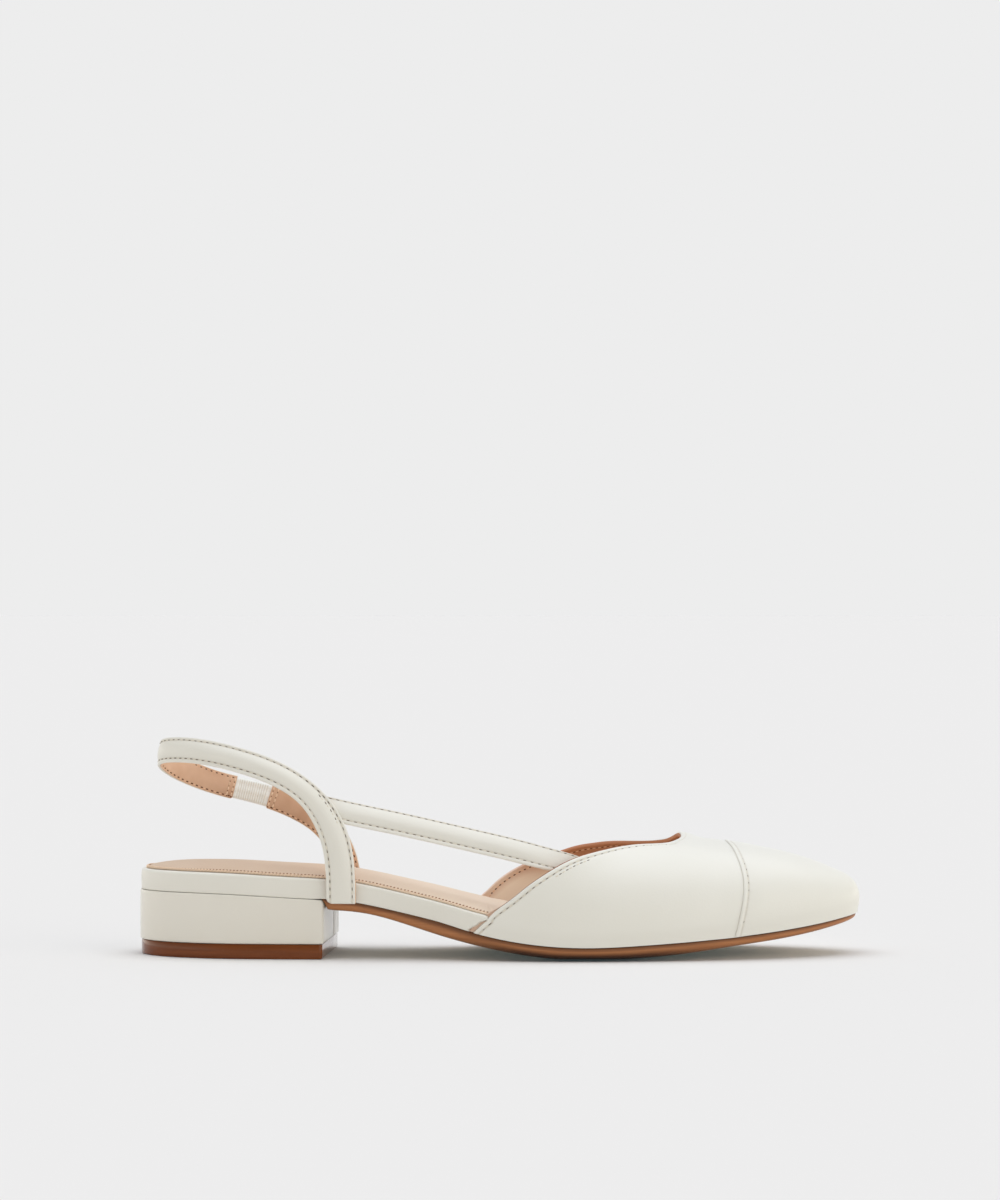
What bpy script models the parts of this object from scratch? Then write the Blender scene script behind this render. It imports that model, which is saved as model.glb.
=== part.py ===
"""Slingback flat with a cap toe: a right shoe, standing empty on its sole.

X runs from heel to toe, -Y is the outer (lateral) side of the foot and the floor is at Z = 0.
Every size here is in millimetres and becomes metres where a mesh is made.
"""

from collections import namedtuple
from math import radians

import bmesh
import bpy
import numpy as np

MM = 0.001
MERGE = 0.001

# Last: length, roundings of the plan at both ends, and the form of a cross section
HEEL_BACK = -126.5
TOE_TIP = 125.7
HEEL_ROUND = 43.0
HEEL_POWER = 2.15
TOE_ROUND = 66.0
TOE_POWER = 2.2
NOSE_ROUND = 6.0
SECTION_POWER = 2.2
BAND_HEIGHT = 5.2
UNDERCUT = 1.3

# Upper: girth runs in degrees from the ridge (0) to the widest line (90) and down to the feather (100)
WIDEST_GIRTH = 90.0
FEATHER_GIRTH = 100.0
ARCH_STEPS = 35
FOOT_STEPS = 3
WALL = 1.8
CAP_THICKNESS = 0.9
CAP_FOOT_GIRTH = 98.8
GAP = 0.3

# Bottom pieces
BOARD_THICKNESS = 7.3
FOREPART_BOARD = 3.0
BOARD_THINS_FROM = 0.0
BOARD_THINS_TO = 26.0
BOARD_TUCKS_FROM = -22.0
BOARD_TUCKS_TO = -12.0
BOARD_INSIDE_VAMP = 3.7
SOCK_THICKNESS = 1.5
SOCK_INSET = 0.7
LIFT_HEIGHT = 5.2
LIFT_INSET = 0.1
HEEL_PROUD = 0.4
BREAST_X = -59.8
BREAST_SKEW = 1.6
NOTCH_FROM = -66.5
NOTCH_TO = -60.5
TAIL_FROM = -64.2
TAIL_TO = -59.5
TAIL_EDGE = 0.4

# Straps
STRAP_STEP = 4.0
SIDE_STRAP_SHARE = 0.84
ELASTIC_LENGTH = 14.0
MEDIAL_STRAP_LENGTH = 47.0

# One row for each section of the last: mid line and half width of the plan, height of the
# feather line, thickness of the outsole and how far it stands back from the plan outline
Section = namedtuple("Section", "x centre half feather sole tuck")
SECTIONS = (
    Section(-127, 2.00, 25.6, 22.8, 3.0, 1.5),
    Section(-110, 1.10, 25.7, 22.7, 3.0, 1.5),
    Section(-90, -0.20, 25.8, 22.2, 3.0, 1.5),
    Section(-75, -1.20, 25.75, 21.35, 3.0, 1.5),
    Section(-61, -2.00, 25.6, 20.6, 3.0, 1.5),
    Section(-48, -2.70, 25.6, 19.0, 3.0, 2.6),
    Section(-34, -3.40, 26.5, 16.1, 3.5, 3.0),
    Section(-20, -3.75, 28.7, 12.55, 4.2, 2.8),
    Section(-5, -3.50, 32.3, 8.8, 4.3, 2.0),
    Section(10, -2.60, 35.8, 5.8, 4.7, 1.5),
    Section(30, -0.80, 38.7, 4.5, 4.9, 1.3),
    Section(48, 0.70, 38.7, 5.5, 5.0, 1.3),
    Section(64, 1.30, 36.6, 6.8, 4.9, 1.3),
    Section(80, 1.35, 33.55, 8.25, 4.35, 0.9),
    Section(95, 1.30, 30.7, 9.75, 3.45, 0.5),
    Section(110, 1.50, 28.3, 11.6, 2.8, 0.3),
    Section(127, 2.00, 26.5, 14.7, 2.1, 0.2),
)

# Height of the last's ridge above its widest line
Ridge = namedtuple("Ridge", "x rise")
RIDGE = (
    Ridge(-15, 53.0),
    Ridge(0, 48.0),
    Ridge(15, 43.0),
    Ridge(30, 37.5),
    Ridge(45, 33.0),
    Ridge(63.5, 29.4),
    Ridge(79, 25.8),
    Ridge(89, 22.6),
    Ridge(100, 19.1),
    Ridge(108, 15.8),
    Ridge(116, 11.5),
    Ridge(121, 8.6),
    Ridge(127, 7.2),
)

# Cut edge of the vamp, from the outer feather over the throat to the inner feather
Edge = namedtuple("Edge", "girth x")
TOPLINE = (
    Edge(-100, -9.3),
    Edge(-95, -7.2),
    Edge(-90, -4.8),
    Edge(-81, 3.1),
    Edge(-74, 8.6),
    Edge(-63, 16.9),
    Edge(-50, 26.6),
    Edge(-42, 34.0),
    Edge(-33, 44.0),
    Edge(-25, 56.5),
    Edge(-13, 62.4),
    Edge(0, 63.5),
    Edge(13, 62.4),
    Edge(25, 56.5),
    Edge(34, 44.0),
    Edge(42.5, 35.0),
    Edge(49, 28.4),
    Edge(56, 22.5),
    Edge(70, 8.6),
    Edge(86, -5.1),
    Edge(90, -7.5),
    Edge(100, -10.5),
)
CAP_SEAM = (
    Edge(-100, 80.8),
    Edge(-87, 82.5),
    Edge(-63, 84.1),
    Edge(-33, 82.3),
    Edge(-11, 80.2),
    Edge(0, 79.4),
    Edge(11, 80.2),
    Edge(33, 82.3),
    Edge(63, 84.1),
    Edge(87, 82.5),
    Edge(100, 80.8),
)

# Edge of a slab, from its underside to its top: inset from the outline, then the height as a
# distance added to a share of the thickness
Rim = namedtuple("Rim", "inset above share")
OUTSOLE_RIM = (
    Rim(3.8, 0.0, 0.0),
    Rim(1.6, 0.0, 0.1),
    Rim(0.5, 0.0, 0.3),
    Rim(0.0, 0.0, 0.6),
    Rim(0.0, 0.0, 1.0),
)
BOARD_RIM = (
    Rim(0.5, 0.0, 0.0),
    Rim(0.0, 0.6, 0.0),
    Rim(0.0, -1.1, 1.0),
    Rim(0.4, -0.4, 1.0),
    Rim(1.3, 0.0, 1.0),
)
SOCK_RIM = (
    Rim(0.3, 0.0, 0.0),
    Rim(0.0, 0.5, 0.0),
    Rim(0.1, -0.4, 1.0),
    Rim(1.0, 0.0, 1.0),
    Rim(5.0, 0.4, 1.0),
    Rim(12.0, 0.6, 1.0),
)
HEEL_RIM = (
    Rim(0.9, 0.0, 0.0),
    Rim(0.3, 0.4, 0.0),
    Rim(0.0, 1.6, 0.0),
    Rim(0.0, -1.0, 1.0),
    Rim(0.6, 0.0, 1.0),
)
LIFT_RIM = (
    Rim(0.5, 0.0, 0.0),
    Rim(0.0, 0.6, 0.0),
    Rim(0.0, -0.3, 1.0),
    Rim(0.4, 0.0, 1.0),
)

# Middle of a strap's outer face, the way it faces (degrees about Z, then above level), its width
Station = namedtuple("Station", "x y z facing lean width")
HEEL_LOOP = (
    Station(-55.0, -31.0, 20.0, -93, 0, 9.8),
    Station(-55.2, -30.8, 31.0, -93, 0, 9.8),
    Station(-56.6, -30.0, 40.0, -93, 0, 9.6),
    Station(-60.0, -28.9, 48.8, -94, 0, 9.4),
    Station(-66.5, -28.0, 57.0, -96, 2, 9.2),
    Station(-77.5, -26.9, 64.2, -101, 4, 9.0),
    Station(-92.0, -23.0, 69.2, -113, 4, 8.9),
    Station(-105.0, -16.2, 71.7, -125, 4, 8.8),
    Station(-115.3, -8.0, 72.1, -143, 4, 8.8),
    Station(-121.1, 1.5, 70.6, -175, 4, 8.8),
    Station(-118.0, 10.8, 66.8, -210, 4, 8.6),
    Station(-110.5, 17.6, 62.9, -233, 4, 8.4),
    Station(-99.0, 22.9, 58.8, -252, 4, 8.3),
    Station(-84.0, 26.0, 54.3, -262, 4, 8.3),
    Station(-72.0, 27.6, 49.1, -267, 3, 8.8),
    Station(-62.3, 28.0, 42.2, -271, 0, 9.2),
    Station(-56.3, 27.2, 32.5, -272, 0, 9.6),
    Station(-54.2, 26.2, 20.0, -273, 0, 9.8),
)
SIDE_STRAP = (
    Station(-62.0, -25.4, 52.6, -92, 0, 7.7),
    Station(-50.0, -26.2, 50.0, -93, 0, 7.7),
    Station(-35.0, -27.0, 47.0, -93, 2, 7.7),
    Station(-21.0, -27.9, 44.1, -93, 4, 7.7),
    Station(-7.0, -28.9, 41.1, -92, 8, 7.7),
    Station(5.0, -29.8, 38.4, -90, 13, 7.7),
    Station(14.0, -30.5, 36.1, -87, 18, 7.7),
    Station(22.0, -30.7, 34.0, -84, 22, 7.7),
    Station(28.0, -30.5, 32.2, -82, 25, 7.7),
)

# Cross section of a strap: place across it (share of the half width) and depth under the outer face
Profile = namedtuple("Profile", "across depth")
STRAP_PROFILE = (
    Profile(-0.90, 2.40),
    Profile(0.90, 2.40),
    Profile(1.00, 1.90),
    Profile(0.92, 1.05),
    Profile(0.62, 0.75),
    Profile(0.30, 0.15),
    Profile(-0.30, 0.15),
    Profile(-0.62, 0.75),
    Profile(-0.92, 1.05),
    Profile(-1.00, 1.90),
)
ELASTIC_PROFILE = (
    Profile(-0.88, 1.90),
    Profile(0.88, 1.90),
    Profile(0.88, 0.70),
    Profile(-0.88, 0.70),
)


def spline(rows, column):
    """Natural cubic curve through one column of a table, over the table's first column."""
    x = np.array([row[0] for row in rows], dtype=float)
    y = np.array([getattr(row, column) for row in rows], dtype=float)
    return cubic(x, y)


def cubic(x, y):
    step = np.diff(x)
    slope = np.diff(y) / step
    last = len(x) - 1
    matrix = np.eye(last + 1)
    right = np.zeros(last + 1)
    for i in range(1, last):
        matrix[i, i - 1:i + 2] = step[i - 1], 2 * (step[i - 1] + step[i]), step[i]
        right[i] = 6 * (slope[i] - slope[i - 1])
    bend = np.linalg.solve(matrix, right)

    def value(at):
        i = np.clip(np.searchsorted(x, at) - 1, 0, last - 1)
        t = at - x[i]
        first = slope[i] - step[i] * (2 * bend[i] + bend[i + 1]) / 6
        return y[i] + t * first + t ** 2 * bend[i] / 2 + t ** 3 * (bend[i + 1] - bend[i]) / (6 * step[i])

    return value


centre = spline(SECTIONS, "centre")
half_width = spline(SECTIONS, "half")
feather = spline(SECTIONS, "feather")
sole_thickness = spline(SECTIONS, "sole")
sole_tuck = spline(SECTIONS, "tuck")
rise = spline(RIDGE, "rise")
topline = spline(TOPLINE, "x")
cap_seam = spline(CAP_SEAM, "x")


def ease(x, start, end):
    """0 before start, 1 after end, smooth between."""
    t = np.clip((x - start) / (end - start), 0, 1)
    return t * t * (3 - 2 * t)


def rounding(distance, length, power):
    """Share of the full width at a distance from a rounded end."""
    left = np.clip(1 - distance / length, 0, 1)
    return (1 - left ** power) ** (1 / power)


def plan_half(x, inset, back, tip):
    toe = rounding(tip - x, TOE_ROUND, TOE_POWER)
    heel = rounding(x - back, HEEL_ROUND, HEEL_POWER)
    return (half_width(x) - inset) * toe * heel


def board_inset(x):
    return BOARD_INSIDE_VAMP * ease(x, BOARD_TUCKS_FROM, BOARD_TUCKS_TO)


def board_top(x):
    thinned = (BOARD_THICKNESS - FOREPART_BOARD) * ease(x, BOARD_THINS_FROM, BOARD_THINS_TO)
    return feather(x) + BOARD_THICKNESS - thinned


def outsole_top(x):
    return feather(x) - GAP


def outsole_bottom(x):
    """Flat on the floor at the ball, thinned to an edge where it runs in over the heel."""
    full = np.maximum(0, feather(x) - sole_thickness(x))
    thin = outsole_top(x) - TAIL_EDGE
    return thin + (full - thin) * ease(x, TAIL_FROM, TAIL_TO)


def heel_top(x):
    """Under the board, notched at the breast for the outsole's thin end."""
    depth = sole_thickness(x) + 2 * GAP
    return feather(x) - GAP - depth * ease(x, NOTCH_FROM, NOTCH_TO)


def make_material(name, red, green, blue, roughness):
    material = bpy.data.materials.new(name)
    material.use_nodes = True
    shader = material.node_tree.nodes["Principled BSDF"]
    screen = np.array((red, green, blue)) / 255
    shader.inputs["Base Color"].default_value = (*screen ** 2.2, 1)
    shader.inputs["Roughness"].default_value = roughness
    shader.inputs["Metallic"].default_value = 0
    return material


def add_object(name, body, material, root):
    """Make a named object from a body in millimetres."""
    bmesh.ops.remove_doubles(body, verts=body.verts, dist=MERGE)
    bmesh.ops.recalc_face_normals(body, faces=body.faces)
    bmesh.ops.scale(body, vec=(MM, MM, MM), verts=body.verts)
    mesh = bpy.data.meshes.new(name)
    body.to_mesh(mesh)
    body.free()
    mesh.shade_smooth()
    mesh.set_sharp_from_angle(angle=radians(40))
    mesh.materials.append(material)
    piece = bpy.data.objects.new(name, mesh)
    piece.parent = root
    bpy.context.scene.collection.objects.link(piece)


def stack(rings):
    """Body from closed rings of equal count, bottom to top. Both ends are laddered across.

    A ring runs up the outer side of the shoe and back down the inner side.
    """
    body = bmesh.new()
    loops = [[body.verts.new(point) for point in ring] for ring in rings]
    count = len(rings[0])
    for low, high in zip(loops, loops[1:]):
        for i in range(count):
            j = (i + 1) % count
            body.faces.new((low[i], low[j], high[j], high[i]))
    for loop in (loops[0], loops[-1]):
        for i in range(count // 2 - 1):
            body.faces.new((loop[i], loop[i + 1], loop[-2 - i], loop[-1 - i]))
    return body


def slab(rim, low, high, inset, count, rear=None, front=None, skew=0.0):
    """Flat piece with the plan of the last. An end with no cut follows the plan's rounding."""
    t = np.linspace(0, 1, count)
    rings = []
    for row in rim:
        back = HEEL_BACK + inset(HEEL_BACK) + row.inset
        tip = TOE_TIP - inset(TOE_TIP) - row.inset
        start = back if rear is None else rear
        if front is None and rear is None:
            along = (1 - np.cos(np.pi * t)) / 2
        elif front is None:
            along = np.sin(np.pi * t / 2)
        else:
            along = 1 - np.cos(np.pi * t / 2)
        sides = []
        for side in (-1, 1):
            end = tip if front is None else front + side * skew
            x = start + (end - start) * along
            y = centre(x) + side * plan_half(x, inset(x) + row.inset, back, tip)
            z = low(x) + row.above + row.share * (high(x) - low(x))
            sides.append(np.stack((x, y, z), axis=1))
        rings.append(np.concatenate((sides[0], sides[1][::-1])))
    return stack(rings)


def girth_line(girth, start, rows):
    """Points on the last along one girth angle, from a start in X to the toe tip."""
    turn = radians(min(abs(girth), WIDEST_GIRTH))
    drop = max(abs(girth) - WIDEST_GIRTH, 0) / (FEATHER_GIRTH - WIDEST_GIRTH)
    tuck = UNDERCUT * (1 - np.cos(np.pi * drop)) / 2
    tip = TOE_TIP - tuck
    x = start + (tip - start) * np.sin(np.linspace(0, np.pi / 2, rows))
    spread = np.sin(turn) ** (2 / SECTION_POWER)
    lift = np.cos(turn) ** (2 / SECTION_POWER)
    nose = rounding(tip - x, NOSE_ROUND, 2)
    y = centre(x) + np.sign(girth) * plan_half(x, tuck, HEEL_BACK, tip) * spread
    z = feather(x) + BAND_HEIGHT * (1 - drop) + rise(x) * nose * lift
    return np.stack((x, y, z), axis=1)


def shell(starts, foot_girth, rows, inner, outer):
    """Wall between two offsets of the last, from a cut line to the toe, open underneath."""
    foot = np.linspace(foot_girth, WIDEST_GIRTH, FOOT_STEPS, endpoint=False)
    arch = np.linspace(-WIDEST_GIRTH, WIDEST_GIRTH, ARCH_STEPS)
    girths = np.concatenate((-foot, arch, foot[::-1]))
    base = bmesh.new()
    lines = [[base.verts.new(p) for p in girth_line(g, starts(g), rows)] for g in girths]
    for near, far in zip(lines, lines[1:]):
        for i in range(rows - 1):
            base.faces.new((near[i], near[i + 1], far[i + 1], far[i]))
    bmesh.ops.remove_doubles(base, verts=base.verts, dist=MERGE)
    base.normal_update()
    base.verts.index_update()
    body = bmesh.new()
    skins = [[body.verts.new(v.co + v.normal * offset) for v in base.verts] for offset in (inner, outer)]
    for face in base.faces:
        corners = [v.index for v in face.verts]
        body.faces.new([skins[1][i] for i in corners])
        body.faces.new([skins[0][i] for i in reversed(corners)])
    for edge in base.edges:
        if edge.is_boundary:
            a, b = (v.index for v in edge.verts)
            body.faces.new((skins[0][a], skins[0][b], skins[1][b], skins[1][a]))
    base.free()
    return body


def path_lengths(route):
    points = np.array([row[:3] for row in route], dtype=float)
    steps = np.linalg.norm(np.diff(points, axis=0), axis=1)
    return np.concatenate(((0,), np.cumsum(steps)))


def sweep(route, profile, start, end, spacing, thickness=1.0):
    """Band along a route of stations, between two lengths measured along it."""
    lengths = path_lengths(route)
    at = np.linspace(start, end, max(2, round((end - start) / spacing) + 1))
    value = {name: cubic(lengths, np.array([getattr(row, name) for row in route], dtype=float))(at)
             for name in Station._fields}
    middle = np.stack((value["x"], value["y"], value["z"]), axis=1)
    along = np.gradient(middle, axis=0)
    along /= np.linalg.norm(along, axis=1, keepdims=True)
    turn = np.radians(value["facing"])
    lean = np.radians(value["lean"])
    face = np.stack((np.cos(turn) * np.cos(lean), np.sin(turn) * np.cos(lean), np.sin(lean)), axis=1)
    face -= along * np.sum(face * along, axis=1, keepdims=True)
    face /= np.linalg.norm(face, axis=1, keepdims=True)
    across = np.cross(face, along)
    body = bmesh.new()
    rings = []
    for p, n, a, width in zip(middle, face, across, value["width"]):
        rings.append([body.verts.new(p + a * row.across * width / 2 - n * row.depth * thickness)
                      for row in profile])
    count = len(profile)
    for low, high in zip(rings, rings[1:]):
        for i in range(count):
            j = (i + 1) % count
            body.faces.new((low[i], low[j], high[j], high[i]))
    body.faces.new(rings[0])
    body.faces.new(rings[-1])
    return body


def build_bottom(root, sole_leather, cover, lining):
    outsole = slab(OUTSOLE_RIM, outsole_bottom, outsole_top, sole_tuck, 44, rear=TAIL_FROM)
    add_object("outsole", outsole, sole_leather, root)
    board = slab(BOARD_RIM, feather, board_top, board_inset, 46)
    add_object("insole_board", board, cover, root)
    sock = slab(SOCK_RIM, lambda x: board_top(x) + GAP, lambda x: board_top(x) + GAP + SOCK_THICKNESS,
                lambda x: board_inset(x) + SOCK_INSET, 40)
    add_object("sock_lining", sock, lining, root)


def build_heel(root, cover, lift_rubber):
    lift = slab(LIFT_RIM, lambda x: 0 * x, lambda x: 0 * x + LIFT_HEIGHT, lambda x: LIFT_INSET + 0 * x,
                20, front=BREAST_X, skew=BREAST_SKEW)
    add_object("top_lift", lift, lift_rubber, root)
    heel = slab(HEEL_RIM, lambda x: 0 * x + LIFT_HEIGHT + GAP, heel_top, lambda x: 0 * x - HEEL_PROUD,
                26, front=BREAST_X, skew=BREAST_SKEW)
    add_object("heel", heel, cover, root)


def build_upper(root, cover):
    add_object("upper", shell(topline, FEATHER_GIRTH, 24, -WALL, 0), cover, root)
    add_object("toe_cap", shell(cap_seam, CAP_FOOT_GIRTH, 11, GAP, GAP + CAP_THICKNESS), cover, root)


def build_straps(root, cover, webbing):
    total = path_lengths(HEEL_LOOP)[-1]
    medial_from = total - MEDIAL_STRAP_LENGTH
    elastic_from = medial_from - ELASTIC_LENGTH
    sling = sweep(HEEL_LOOP, STRAP_PROFILE, 0, elastic_from, STRAP_STEP)
    add_object("sling_strap", sling, cover, root)
    elastic = sweep(HEEL_LOOP, ELASTIC_PROFILE, elastic_from + GAP, medial_from - GAP, STRAP_STEP)
    add_object("elastic", elastic, webbing, root)
    medial = sweep(HEEL_LOOP, STRAP_PROFILE, medial_from, total, STRAP_STEP)
    add_object("medial_strap", medial, cover, root)
    side = sweep(SIDE_STRAP, STRAP_PROFILE, 0, path_lengths(SIDE_STRAP)[-1], STRAP_STEP, SIDE_STRAP_SHARE)
    add_object("side_strap", side, cover, root)


def main():
    for piece in list(bpy.data.objects):
        bpy.data.objects.remove(piece)
    root = bpy.data.objects.new("shoe", None)
    bpy.context.scene.collection.objects.link(root)
    cover = make_material("white_leather", 236, 233, 225, 0.45)
    lining = make_material("tan_lining", 214, 184, 158, 0.6)
    sole_leather = make_material("tan_outsole", 140, 92, 60, 0.45)
    lift_rubber = make_material("brown_lift", 104, 62, 38, 0.5)
    webbing = make_material("ribbed_elastic", 224, 216, 202, 0.8)
    build_bottom(root, sole_leather, cover, lining)
    build_heel(root, cover, lift_rubber)
    build_upper(root, cover)
    build_straps(root, cover, webbing)


main()
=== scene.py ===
from math import pi, radians

import bmesh
import bpy
import numpy as np
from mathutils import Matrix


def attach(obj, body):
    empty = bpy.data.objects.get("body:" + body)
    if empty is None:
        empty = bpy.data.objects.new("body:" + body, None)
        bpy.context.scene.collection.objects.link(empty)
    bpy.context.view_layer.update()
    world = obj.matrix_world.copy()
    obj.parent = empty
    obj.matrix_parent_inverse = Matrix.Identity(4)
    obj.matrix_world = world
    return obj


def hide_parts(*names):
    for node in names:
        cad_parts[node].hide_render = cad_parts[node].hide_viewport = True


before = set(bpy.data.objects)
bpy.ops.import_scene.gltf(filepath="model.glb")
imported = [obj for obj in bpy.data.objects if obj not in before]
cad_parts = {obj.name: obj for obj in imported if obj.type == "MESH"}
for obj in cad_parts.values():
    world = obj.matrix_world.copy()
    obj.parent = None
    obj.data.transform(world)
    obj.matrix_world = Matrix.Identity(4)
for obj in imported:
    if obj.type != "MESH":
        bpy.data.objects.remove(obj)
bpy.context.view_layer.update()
mm = 0.001  # sizes are in millimetres until a mesh or a shader needs metres
print("frame:", ", ".join(sorted(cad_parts)))


# Curves

def naturalCubic(x, y):
    x = np.asarray(x, dtype=float)
    y = np.asarray(y, dtype=float)
    step = np.diff(x)
    slope = np.diff(y) / step
    last = len(x) - 1
    matrix = np.eye(last + 1)
    right = np.zeros(last + 1)
    for i in range(1, last):
        matrix[i, i - 1:i + 2] = step[i - 1], 2 * (step[i - 1] + step[i]), step[i]
        right[i] = 6 * (slope[i] - slope[i - 1])
    bend = np.linalg.solve(matrix, right)

    def value(at):
        i = np.clip(np.searchsorted(x, at) - 1, 0, last - 1)
        t = at - x[i]
        first = slope[i] - step[i] * (2 * bend[i] + bend[i + 1]) / 6
        return y[i] + t * first + t ** 2 * bend[i] / 2 + t ** 3 * (bend[i + 1] - bend[i]) / (6 * step[i])

    return value


def throughTable(rows, column):
    return naturalCubic([row[0] for row in rows], [row[column] for row in rows])


def softStep(x, start, end):
    t = np.clip((x - start) / (end - start), 0, 1)
    return t * t * (3 - 2 * t)


def bell(x, middle, width):
    return np.exp(-((x - middle) / width) ** 2)


def roundedEnd(distance, length, power):
    left = np.clip(1 - distance / length, 0, 1)
    return (1 - left ** power) ** (1 / power)


def unit(vectors):
    return vectors / np.maximum(np.linalg.norm(vectors, axis=-1, keepdims=True), 1e-9)


# The last that every piece is built on
lastForm = {
    "heelBack": -126.5,
    "toeTip": 125.7,
    "heelRound": 43.0,
    "heelPower": 2.15,
    "toeRound": 66.0,
    "toePower": 2.2,
    "noseRound": 6.0,
    "sectionPower": 2.2,
    "bandHeight": 5.2,
    "undercut": 0.7,
    "feather": 100.0,  # girth angle of the feather line; 0 is the ridge, 90 the widest line
    "sections": (  # x, mid line, half width, feather height, sole thickness, sole set back
        (-127, 2.00, 25.6, 22.8, 3.0, 1.5),
        (-110, 1.10, 25.7, 22.7, 3.0, 1.5),
        (-90, -0.20, 25.8, 22.2, 3.0, 1.5),
        (-75, -1.20, 25.75, 21.35, 3.0, 1.5),
        (-61, -2.00, 25.6, 20.6, 3.5, 1.5),
        (-48, -2.70, 25.6, 19.0, 3.05, 2.6),
        (-34, -3.40, 26.5, 16.05, 3.55, 3.0),
        (-20, -3.75, 28.7, 12.75, 4.7, 2.8),
        (-5, -3.50, 32.3, 8.8, 4.8, 2.0),
        (10, -2.60, 35.8, 6.15, 5.05, 1.5),
        (30, -0.80, 38.7, 4.95, 5.4, 1.3),
        (48, 0.70, 38.7, 5.6, 5.3, 1.3),
        (64, 1.30, 36.6, 6.6, 4.7, 1.3),
        (80, 1.35, 33.55, 7.85, 3.55, 0.9),
        (95, 1.30, 30.7, 9.42, 3.12, 0.5),
        (110, 1.50, 28.3, 11.5, 2.7, 0.3),
        (127, 2.00, 26.5, 14.7, 2.1, 0.2),
    ),
    "ridge": (  # x, height over the widest line
        (-15, 53.0), (0, 47.85), (15, 42.6), (30, 37.05), (45, 32.9), (63.5, 29.6), (79, 26.2),
        (89, 22.95), (100, 19.35), (108, 15.9), (116, 11.5), (121, 8.6), (127, 7.2),
    ),
    "topLine": (  # girth, x
        (-100, -9.3), (-95, -7.2), (-90, -4.8), (-81, 3.1), (-74, 8.6), (-63, 16.9), (-50, 26.6),
        (-41.6, 34.0), (-31.4, 44.0), (-27.4, 49.6), (-24, 56.0), (-19, 60.3), (-10, 63.0), (0, 63.8),
        (10, 63.1), (20.5, 60.8), (28, 56.4), (31, 51.9), (34.2, 44.7), (41.2, 35.0), (47.7, 28.4),
        (54.7, 22.5), (68.9, 8.6), (85.3, -5.1), (90, -7.7), (100, -10.5),
    ),
    "capSeam": (
        (-100, 80.8), (-87, 82.5), (-63, 84.1), (-33, 82.3), (-11, 80.2), (0, 79.4), (11, 80.2),
        (33, 82.3), (63, 84.1), (87, 82.5), (100, 80.8),
    ),
}
midLine = throughTable(lastForm["sections"], 1)
halfWidth = throughTable(lastForm["sections"], 2)
featherHeight = throughTable(lastForm["sections"], 3)
soleThickness = throughTable(lastForm["sections"], 4)
soleSetBack = throughTable(lastForm["sections"], 5)
ridgeRise = throughTable(lastForm["ridge"], 1)
topLine = throughTable(lastForm["topLine"], 1)
capSeam = throughTable(lastForm["capSeam"], 1)


def planHalf(x, inset, back, tip):
    toe = roundedEnd(tip - x, lastForm["toeRound"], lastForm["toePower"])
    heel = roundedEnd(x - back, lastForm["heelRound"], lastForm["heelPower"])
    return (halfWidth(x) - inset) * toe * heel


def toeTuck(girth):
    drop = np.clip(np.abs(girth) - 90, 0, None) / (lastForm["feather"] - 90)
    return drop, lastForm["undercut"] * (1 - np.cos(pi * drop)) / 2


def lastPoints(girth, x):
    drop, tuck = toeTuck(girth)
    turn = np.radians(np.minimum(np.abs(girth), 90))
    tip = lastForm["toeTip"] - tuck
    spread = np.sin(turn) ** (2 / lastForm["sectionPower"])
    lift = np.cos(turn) ** (2 / lastForm["sectionPower"])
    nose = roundedEnd(tip - x, lastForm["noseRound"], 2)
    y = midLine(x) + np.sign(girth) * planHalf(x, tuck, lastForm["heelBack"], tip) * spread
    z = featherHeight(x) + lastForm["bandHeight"] * (1 - drop) + ridgeRise(x) * nose * lift
    return np.stack((x, y, z), axis=-1)


def lastNormals(girth, x):
    reach = 0.3
    over = lastPoints(girth + reach, x) - lastPoints(girth - reach, x)
    ahead = lastPoints(girth, x + reach) - lastPoints(girth, x - reach)
    return unit(np.cross(ahead, over))


def edgeStretch(cut, girth):  # x along a girth line for each millimetre square to a cut edge
    reach = 0.5
    start = cut(girth)
    edge = lastPoints(girth, start)
    ahead = (lastPoints(girth, start + reach) - edge) / reach
    along = unit(np.gradient(edge, axis=0))
    square = ahead - along * np.sum(ahead * along, axis=1, keepdims=True)
    return 1 / np.linalg.norm(square, axis=1)


def runningLength(points):
    steps = np.linalg.norm(np.diff(points, axis=0), axis=1)
    return np.concatenate(((0,), np.cumsum(steps)))


# Shader building

def linear(red, green, blue):
    screen = np.array((red, green, blue)) / 255
    return (*np.where(screen <= 0.04045, screen / 12.92, ((screen + 0.055) / 1.055) ** 2.4), 1.0)


def setSockets(tree, node, sockets):
    for name, value in sockets.items():
        if isinstance(value, bpy.types.NodeSocket):
            tree.links.new(value, node.inputs[name])
        else:
            node.inputs[name].default_value = value


def put(tree, kind, sockets=None, **settings):
    node = tree.nodes.new(kind)
    for name, value in settings.items():
        setattr(node, name, value)
    setSockets(tree, node, sockets or {})
    return node


def calc(tree, operation, *terms):
    return put(tree, "ShaderNodeMath", dict(enumerate(terms)), operation=operation).outputs[0]


def mixColour(tree, factor, first, second):
    return put(tree, "ShaderNodeMix", {0: factor, 6: first, 7: second}, data_type="RGBA").outputs[2]


def spread(tree, value, low, high, newLow=0.0, newHigh=1.0):
    sockets = {"Value": value, "From Min": low, "From Max": high, "To Min": newLow, "To Max": newHigh}
    return put(tree, "ShaderNodeMapRange", sockets).outputs[0]


def objectPlace(tree):
    return put(tree, "ShaderNodeTexCoord").outputs["Object"]


def noise(tree, place, scale, detail):
    return put(tree, "ShaderNodeTexNoise", {"Vector": place, "Scale": scale, "Detail": detail}).outputs["Fac"]


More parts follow.
